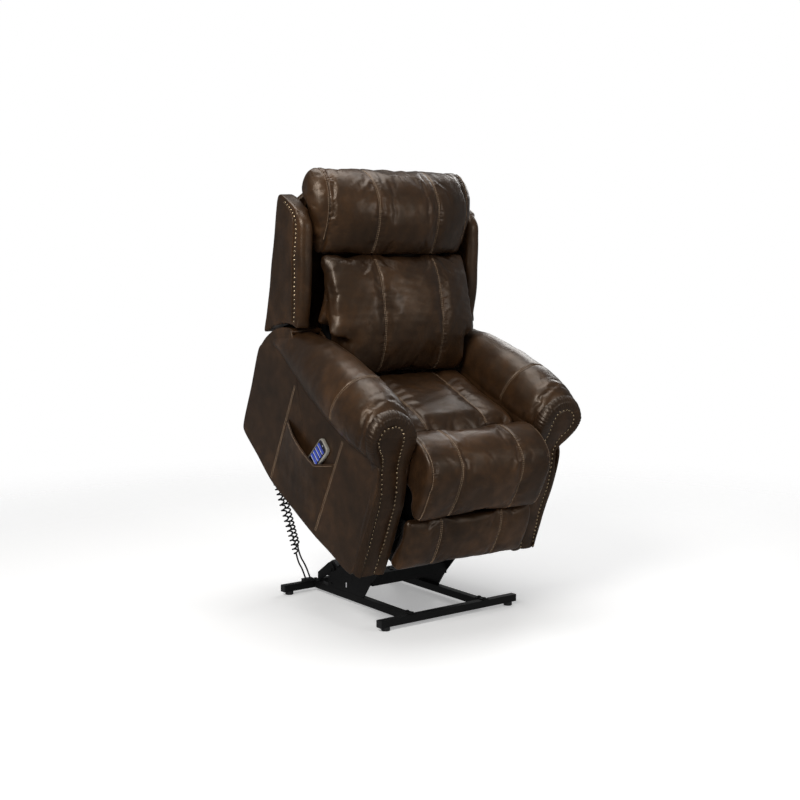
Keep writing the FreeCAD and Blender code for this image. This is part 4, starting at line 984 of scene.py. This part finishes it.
WING = [(680, 537), (684, 562), (706, 640), (753, 742), (795, 826), (820, 868), (858, 888), (925, 896), (985, 892), (994, 880), (960, 760), (920, 630), (880, 492), (861, 418)] + wing_arc(264, 33, 72, 5)
wing_objs = {}
wing_nails = []
NLINE = [(708, 548), (734, 606), (778, 690), (810, 756), (836, 822), (856, 858), (888, 874), (940, 881)]
for side, s in (("left", 1), ("right", -1)):
    def rad(P):
        # full roll along the front, crisp elsewhere
        fr = np.clip((P[:, 1] - 538) / 30, 0, 1) * (P[:, 0] < (0.36 * (P[:, 1] - 540) + 735)) * (P[:, 1] < 892)
        return 6.0 + 20.0 * fr
    w = pillow("wing_cover_" + side, WING, min(s * 338, s * 394), max(s * 338, s * 394), rad, n=240, step=6.0)
    remesh(w, 5.0)
    relax(w, 3)
    co, no = get_co(w) * 1000.0, get_no(w)
    line = curve(NLINE, 300, loop=False)
    kd = KDTree(len(line))
    for i, q in enumerate(line):
        kd.insert((q[0], q[1], 0), i)
    kd.balance()
    dist = np.array([kd.find((a, b, 0))[2] for a, b in co[:, 1:3]])
    outer = np.clip((s * co[:, 0] - 380) / 10.0, 0, 1)
    co = co - no * (2.6 * np.exp(-((dist / 5.0) ** 2)) * outer)[:, None]
    co = co + no * (1.0 * waves(co, 90.0, 81 + s))[:, None]
    set_co(w, co * MM)
    wing_objs[side] = w
    tree = bvh_mm(w)
    nl = np.linalg.norm(np.diff(line, axis=0), axis=1).sum()
    for q in resample(line, int(nl / 14.0), False):
        r = hit(tree, (s * 520.0, q[0], q[1]), (-s, 0, 0))
        if r is not None:
            wing_nails.append((r[0], np.array([s * 1.0, -0.25, 0.0])))
    # welt just behind the nails
    back_line = curve([(a + 11, b - 3) for a, b in NLINE], 120, loop=False)
    pts, nr = trace(tree, [[s * 520.0, q[0], q[1]] for q in back_line], [[-s, 0, 0]] * len(back_line))
    verts, faces = [], []
    seg = 8
    for i in range(len(pts)):
        t = pts[min(i + 1, len(pts) - 1)] - pts[max(i - 1, 0)]
        t /= np.linalg.norm(t)
        a = np.array([s * 1.0, 0, 0])
        b = np.cross(t, a)
        for k in range(seg):
            th = 2 * math.pi * k / seg
            verts.append(pts[i] + (a * math.cos(th) + b * math.sin(th)) * 2.6)
    for i in range(len(pts) - 1):
        for k in range(seg):
            faces.append((i * seg + k, i * seg + (k + 1) % seg, (i + 1) * seg + (k + 1) % seg, (i + 1) * seg + k))
    welt = mesh("wing_welt_" + side, world(np.array(verts)), faces)
    paint(welt, M_LEATHER)
    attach(welt, "back")
nails_wing = nail_heads("wing_nails", wing_nails)

# ------------------------------------------------------------------ backs
OUTER = [(857, 425), (900, 560), (950, 740), (994, 889), (1000, 925), (994, 958), (980, 978), (966, 984), (960, 976), (976, 950), (984, 925), (976, 890), (935, 740), (885, 560), (843, 425)]
def outer_warp(ring):
    r = ring.copy()
    t = np.clip((r[:, 2] - 850.0) / 70.0, 0, 1)
    r[:, 0] *= 1.0 - 0.17 * t * t * (3 - 2 * t)
    return r


outer = pillow("back_outer_cover", OUTER, -337.0, 337.0, 5.0, n=200, step=14.0, warp=outer_warp)
TAIL = [(857.5, 424), (848, 428), (838, 380), (826, 312), (838, 308), (850, 370)]
tail = pillow("back_skirt_cover", TAIL, -266.0, 266.0, 4.0, n=80, step=14.0)
LOWER = [(768, -18), (780, -18), (782, 130), (780, 283), (768, 283), (767, 130)]
lower = pillow("lower_rear_cover", LOWER, -273.0, 273.0, 4.0, n=120, step=14.0)

# ------------------------------------------------------------------ side pocket
def pocket():
    """Leather patch between the two side seams, its mouth standing open."""
    nu, nv = 70, 60
    rings_o, rings_i = [], []
    grid = np.zeros((nv, nu, 3))
    for j in range(nv):
        v = j / (nv - 1)
        for i in range(nu):
            u = i / (nu - 1)
            d_top = 272 + u * (582 - 272)
            d_bot = 268 + u * (583 - 268)
            d = d_bot + (d_top - d_bot) * v
            mouth = np.interp(d, [272, 299, 352, 420, 500, 582], [262, 243, 206, 210, 219, 233])
            hb = bottom(d) + 4
            h = hb + (mouth - hb) * v
            open_ = math.sin(math.pi * min(max(u, 0), 1)) ** 0.7
            x = 394.2 + 25.0 * open_ * v ** 2.2 + 1.5 * math.sin(math.pi * u) * math.sin(math.pi * v)
            grid[j, i] = (-x, d, h)
    P = grid.reshape(-1, 3)
    P[:, 0] -= (0.7 * waves(P, 110.0, 91) + 0.25 * waves(P, 45.0, 92)) * np.clip((P[:, 2] + 10) / 60, 0, 1)
    Q = P.copy()
    Q[:, 0] += 3.2
    verts = np.vstack([P, Q])
    faces = []
    for j in range(nv - 1):
        for i in range(nu - 1):
            a = j * nu + i
            faces.append((a, a + 1, a + nu + 1, a + nu))
            b = a + nu * nv
            faces.append((b, b + nu, b + nu + 1, b + 1))
    for i in range(nu - 1):
        a, b = i, i + nu * nv
        faces.append((a, b, b + 1, a + 1))
        a, b = (nv - 1) * nu + i, (nv - 1) * nu + i + nu * nv
        faces.append((a, a + 1, b + 1, b))
    for j in range(nv - 1):
        a, b = j * nu, j * nu + nu * nv
        faces.append((a, a + nu, b + nu, b))
        a, b = j * nu + nu - 1, j * nu + nu - 1 + nu * nv
        faces.append((a, b, b + nu, a + nu))
    o = mesh("pocket_cover", verts * MM, faces)
    bm = bmesh.new()
    bm.from_mesh(o.data)
    bmesh.ops.recalc_face_normals(bm, faces=bm.faces)
    bm.to_mesh(o.data)
    bm.free()
    subdivide(o, 1)
    return o


pocket_o = pocket()

# stitched side seams on both arms
for side, s in (("left", 1), ("right", -1)):
    w = arm_parts["wall_" + side]
    tree = bvh_mm(w)
    tree_p = bvh_mm(pocket_o)
    for (d0, h0), (d1, h1) in (((600, 358), (584, -22)), ((270, 352), (266, -18))):
        for off in (-3.4, 3.4):
            g = [(s * 520.0, d0 + (d1 - d0) * t + off, h0 + (h1 - h0) * t) for t in np.linspace(0, 1, 120)]
            pts, nr = trace(tree, g, [(-s, 0, 0)] * len(g))
            stitches("wall_" + side, pts, nr)
            verts = []
    # mouth of the pocket is stitched too
    if s < 0:
        g, dr = [], []
        for d in np.linspace(280, 576, 90):
            mouth = np.interp(d, [272, 299, 352, 420, 500, 582], [262, 243, 206, 210, 219, 233])
            g.append((-520.0, d, mouth - 9.0))
            dr.append((1, 0, 0))
        pts, nr = trace(tree_p, g, dr)
        stitches("wall_" + side, pts, nr)

# ------------------------------------------------------------------ handset
HT = math.atan2(28.0, 85.0)


def hs_to_chair(p):
    """Handset frame (through, across, along) to chair mm."""
    p = np.asarray(p, float)
    c, s_ = math.cos(HT), math.sin(HT)
    y = c * p[..., 1] - s_ * p[..., 2]
    z = s_ * p[..., 1] + c * p[..., 2]
    return np.stack([-392.0 + p[..., 0], 341.0 + y, 295.0 + z], -1)


def rounded_slab(name, x0, x1, y0, y1, z0, z1, rc, re, mat, n=10):
    """A slab rounded at its corners (rc) and edges (re), thin along X."""
    out = []
    for cy, cz, a0 in ((y1 - rc, z1 - rc, 0), (y0 + rc, z1 - rc, 90), (y0 + rc, z0 + rc, 180), (y1 - rc, z0 + rc, 270)):
        for k in range(n + 1):
            t = math.radians(a0 + 90.0 * k / n)
            out.append((cy + rc * math.cos(t), cz + rc * math.sin(t)))
    P = np.array(out)
    N = outward(P)
    rings = []
    for a in np.linspace(0, 90, 6):
        e = re * (1 - math.sin(math.radians(a)))
        rings.append(np.column_stack([np.full(len(P), x0 + re * (1 - math.cos(math.radians(a)))), P - N * e]))
    for a in np.linspace(90, 0, 6):
        e = re * (1 - math.sin(math.radians(a)))
        rings.append(np.column_stack([np.full(len(P), x1 - re * (1 - math.cos(math.radians(a)))), P - N * e]))
    o = skin(name, rings)
    co = get_co(o) * 1000.0
    set_co(o, world(hs_to_chair(co)))
    o.data.polygons.foreach_set("use_smooth", [True] * len(o.data.polygons))
    paint(o, mat)
    return o


case = rounded_slab("handset_shell", -15.0, 0.0, -30, 30, -135, 0, 14, 5.0, M_CASE)
face = rounded_slab("handset_face", -16.0, -13.0, -25, 25, -128, -4.5, 10, 1.0, M_DARK)
lamp = rounded_slab("handset_lamp", -16.6, -15.0, -2.2, 2.2, -12.5, -8.5, 2.0, 0.5, M_BAR, n=4)
handset_bits = [case, face, lamp]
KEYZ = [-26.0 - 19.0 * r for r in range(4)]
KEYN = ["key_lift_up", "key_lift_down", "key_recline", "key_upright"]
key_objs = []
for z, nme in zip(KEYZ, KEYN):
    k = rounded_slab("handset_" + nme + "_cap", -17.6, -14.0, -21.5, 21.5, z - 6.2, z + 6.2, 4.0, 1.2, M_KEY, n=6)
    bar = rounded_slab("handset_" + nme + "_bar", -18.1, -17.0, -20.0, 20.0, z - 6.0, z - 3.9, 0.9, 0.4, M_BAR, n=3)
    bar.parent = k
    key_objs.append((k, bar, nme))

# ------------------------------------------------------------------ curly cords
def nurbs_points(pts, n_per=40):
    """Points read from a smooth NURBS line through the route's control points."""
    cu = bpy.data.curves.new("route", "CURVE")
    cu.dimensions = "3D"
    sp = cu.splines.new("NURBS")
    sp.points.add(len(pts) - 1)
    for p, q in zip(sp.points, pts):
        p.co = (*q, 1.0)
    sp.order_u = 3
    sp.use_endpoint_u = True
    sp.resolution_u = n_per
    ob = bpy.data.objects.new("route", cu)
    scene.collection.objects.link(ob)
    bpy.context.view_layer.update()
    me = bpy.data.meshes.new_from_object(ob)
    co = np.array([v.co[:] for v in me.vertices])
    bpy.data.objects.remove(ob)
    bpy.data.meshes.remove(me)
    return co


def tube(name, path, r, seg=10):
    P = np.asarray(path)
    T = np.gradient(P, axis=0)
    T /= np.linalg.norm(T, axis=1, keepdims=True)
    n0 = np.cross(T[0], [0.3, 1, 0.2])
    n0 /= np.linalg.norm(n0)
    verts = []
    for i in range(len(P)):
        n0 = n0 - T[i] * np.dot(n0, T[i])
        n0 /= np.linalg.norm(n0)
        b = np.cross(T[i], n0)
        for k in range(seg):
            a = 2 * math.pi * k / seg
            verts.append(P[i] + r * (n0 * math.cos(a) + b * math.sin(a)))
    faces = []
    for i in range(len(P) - 1):
        for k in range(seg):
            faces.append((i * seg + k, i * seg + (k + 1) % seg, (i + 1) * seg + (k + 1) % seg, (i + 1) * seg + k))
    faces.append(tuple(range(seg - 1, -1, -1)))
    faces.append(tuple((len(P) - 1) * seg + k for k in range(seg)))
    return mesh(name, verts, faces)


def curly(name, top, end, lead, turns, r_coil, r_wire, phase, sag=0.0):
    top, end = np.array(top) * MM, np.array(end) * MM
    axis = (end - top) / np.linalg.norm(end - top)
    L = np.linalg.norm(end - top)
    route = [tuple(top), tuple(top + axis * L * 0.34 + np.array([0, 0, -sag])), tuple(top + axis * L * 0.67 + np.array([0, 0, -sag])), tuple(end)]
    line = nurbs_points(route, 60)
    line = resample(line, 60, False)
    a = np.cross(axis, [0, 1, 0])
    a /= np.linalg.norm(a)
    b = np.cross(axis, a)
    n = int(turns * 22)
    t = np.linspace(0, 1, n)
    cx = np.stack([np.interp(t, np.linspace(0, 1, len(line)), line[:, k]) for k in range(3)], 1)
    # the pitch opens a little in the middle, and both ends run in to the axis
    ph = 2 * math.pi * (turns * t + 0.35 * np.sin(2 * math.pi * t)) + phase
    ramp_in = np.clip(t / 0.035, 0, 1) * np.clip((1 - t) / 0.035, 0, 1)
    ramp_in = ramp_in * ramp_in * (3 - 2 * ramp_in)
    rr = r_coil * MM * ramp_in
    helix = cx + a * (rr * np.cos(ph))[:, None] + b * (rr * np.sin(ph))[:, None]
    tail_pts = nurbs_points([tuple(np.array(p) * MM) for p in lead], 24)
    path = np.vstack([helix, tail_pts[1:]])
    keep = [0]
    for i in range(1, len(path)):
        if np.linalg.norm(path[i] - path[keep[-1]]) > 0.0008:
            keep.append(i)
    path = path[keep]
    o = tube(name, path, r_wire * MM)
    length = float(np.linalg.norm(np.diff(path, axis=0), axis=1).sum())
    return o, path, length


YS = 82.0
COIL1 = ((-348.6, 273.6 + YS, 492.0), (-238.0, 281.0 + YS, 140.0))
COIL2 = ((-322.0, 296.0 + YS, 514.0), (-222.0, 297.0 + YS, 166.0))
LEAD1 = [(-238.0, 281.0 + YS, 139.9), (-231.0, 281.4 + YS, 112.0), (-213.0, 279.0 + YS, 82.0), (-204.0, 275.0 + YS, 49.0)]
LEAD2 = [(-222.0, 297.0 + YS, 165.9), (-216.0, 295.0 + YS, 132.0), (-195.0, 284.0 + YS, 92.0), (-184.0, 275.0 + YS, 49.0)]
cord1, path1, len1 = curly("handset_cord", COIL1[0], COIL1[1], LEAD1, 19, 8.4, 3.1, 0.4)
cord2, path2, len2 = curly("power_cord", COIL2[0], COIL2[1], LEAD2, 22, 8.4, 3.1, 1.9)
print("CORDS", round(len1, 3), round(len2, 3))
for c, p, ln, nds in ((cord1, path1, len1, ("handset_curly_cord", "handset_cord_lead")), (cord2, path2, len2, ("power_curly_cord", "power_cord_lead"))):
    paint(c, M_CORD)
    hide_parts(*nds)
    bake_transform(c)

# ------------------------------------------------------------------ place everything
for o in (head, lum):
    to_world(o)
    paint(o, M_LEATHER)
    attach(o, "back")
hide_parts("headrest_pillow")
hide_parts("lumbar_cushion")
for o, nd in ((deck, "seat_deck_cushion"), (front, "seat_front_cushion")):
    to_world(o)
    paint(o, M_LEATHER)
    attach(o, "carriage")
    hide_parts(nd)
to_world(leg)
paint(leg, M_LEATHER)
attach(leg, "legrest")
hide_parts("legrest_pad")
for side in ("left", "right"):
    r = arm_parts[side]
    to_world(r)
    paint(r, M_LEATHER)
    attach(r, "carriage")
    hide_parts("arm_roll_" + side)
    f = arm_parts["facing_" + side]
    to_world(f)
    # the facings take the darker leather copy, painted shade
    paint(f, M_LEATHER_SHADED)
    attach(f, "carriage")
    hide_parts("arm_facing_" + side)
    for kk in ("wall_", "inner_", "rear_"):
        w = arm_parts[kk + side]
        to_world(w)
        paint(w, M_LEATHER)
        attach(w, "carriage")
    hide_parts("arm_frame_" + side)
    w = wing_objs[side]
    to_world(w)
    paint(w, M_LEATHER)
    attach(w, "back")
    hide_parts("wing_" + side)
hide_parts("arm_side_panels")
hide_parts("arm_side_panels")
for o, nds, body in ((outer, ["back_outer_panel"], "back"), (tail, [], "back"), (lower, ["lower_rear_panel"], "carriage"), (pocket_o, ["handset_pocket"], "carriage")):
    to_world(o)
    paint(o, M_LEATHER)
    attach(o, body)
    if nds:
        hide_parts(*nds)
paint(nails_arm, M_NAIL)
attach(nails_arm, "carriage")
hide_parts("arm_nailheads")
paint(nails_wing, M_NAIL)
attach(nails_wing, "back")
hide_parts("wing_nailheads")
for o in handset_bits:
    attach(o, "handset")
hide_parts("handset_case")
for k, bar, nme in key_objs:
    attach(k, nme)
    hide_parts("handset_" + nme)
groups = {"back": ("head", "lumbar"), "carriage": ("deck", "front", "arm_left", "arm_right", "wall_left", "wall_right"), "legrest": ("leg",)}
for body, keys in groups.items():
    items = [q for q in STITCH if q[0] in keys]
    if items:
        o = thread_mesh("stitches_" + body, items)
        paint(o, M_THREAD)
        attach(o, body)
print("STITCHES", len(STITCH), "NAILS", len(arm_nails), len(wing_nails))

# ------------------------------------------------------------------ floor and light
fv, ff = [(0.0, 0.0, -0.001)], []
for k in range(96):
    t = 2 * math.pi * k / 96
    fv.append((6.0 * math.cos(t), 6.0 * math.sin(t), -0.001))
for k in range(96):
    ff.append((0, 1 + k, 1 + (k + 1) % 96))
fl = mesh("floor", fv, ff, smooth=False)
mfl, nt, b = new_mat("floor_white")
b.inputs["Base Color"].default_value = (0.96, 0.96, 0.96, 1)
b.inputs["Roughness"].default_value = 0.9
b.inputs["Specular IOR Level"].default_value = 0.0
b.inputs["Emission Color"].default_value = (1, 1, 1, 1)
b.inputs["Emission Strength"].default_value = 0.30
# the pale floor fades into the pale surroundings away from the chair
ftc = node(nt, "ShaderNodeTexCoord")
flen = node(nt, "ShaderNodeVectorMath", operation="LENGTH")
nt.links.new(ftc.outputs["Object"], flen.inputs[0])
fmr = node(nt, "ShaderNodeMapRange")
fmr.interpolation_type = "SMOOTHSTEP"
fmr.inputs["From Min"].default_value = 1.5
fmr.inputs["From Max"].default_value = 3.6
nt.links.new(flen.outputs["Value"], fmr.inputs["Value"])
ftr = node(nt, "ShaderNodeBsdfTransparent")
fmx = node(nt, "ShaderNodeMixShader")
nt.links.new(fmr.outputs[0], fmx.inputs[0])
nt.links.new(b.outputs[0], fmx.inputs[1])
nt.links.new(ftr.outputs[0], fmx.inputs[2])
fout = [n for n in nt.nodes if n.type == "OUTPUT_MATERIAL"][0]
nt.links.new(fmx.outputs[0], fout.inputs[0])
paint(fl, mfl)
fl.visible_glossy = False


def area(name, loc, target, size, power, colour=(1, 1, 1)):
    d = bpy.data.lights.new(name, "AREA")
    d.shape = "RECTANGLE"
    d.size, d.size_y = size
    d.energy = power
    d.color = colour
    o = bpy.data.objects.new(name, d)
    scene.collection.objects.link(o)
    o.location = loc
    o.rotation_euler = (Vector(target) - Vector(loc)).to_track_quat("-Z", "Y").to_euler()
    return o


area("key", (-3.4, -1.6, 3.3), (0, 0, 0.8), (1.5, 1.5), 96.0, (1.0, 0.985, 0.96))
area("fill", (1.6, -4.4, 2.4), (0, 0, 0.7), (1.2, 1.2), 24.0)
area("top", (0.2, 0.3, 4.4), (0, 0, 0.5), (2.6, 2.6), 74.0)
area("rim", (3.2, 1.8, 2.8), (0, 0, 0.9), (1.2, 1.8), 27.0)
w = bpy.data.worlds.new("world")
scene.world = w
w.use_nodes = True
nt = w.node_tree
bg = [n for n in nt.nodes if n.type == "BACKGROUND"][0]
bg.inputs[0].default_value = (1, 1, 1, 1)
bg.inputs[1].default_value = 0.16
bg2 = nt.nodes.new("ShaderNodeBackground")
bg2.inputs[0].default_value = (1, 1, 1, 1)
bg2.inputs[1].default_value = 1.0
lp = nt.nodes.new("ShaderNodeLightPath")
mxw = nt.nodes.new("ShaderNodeMixShader")
wout = [n for n in nt.nodes if n.type == "OUTPUT_WORLD"][0]
nt.links.new(lp.outputs["Is Camera Ray"], mxw.inputs[0])
nt.links.new(bg.outputs[0], mxw.inputs[1])
nt.links.new(bg2.outputs[0], mxw.inputs[2])
nt.links.new(mxw.outputs[0], wout.inputs[0])
scene.view_settings.view_transform = "Standard"
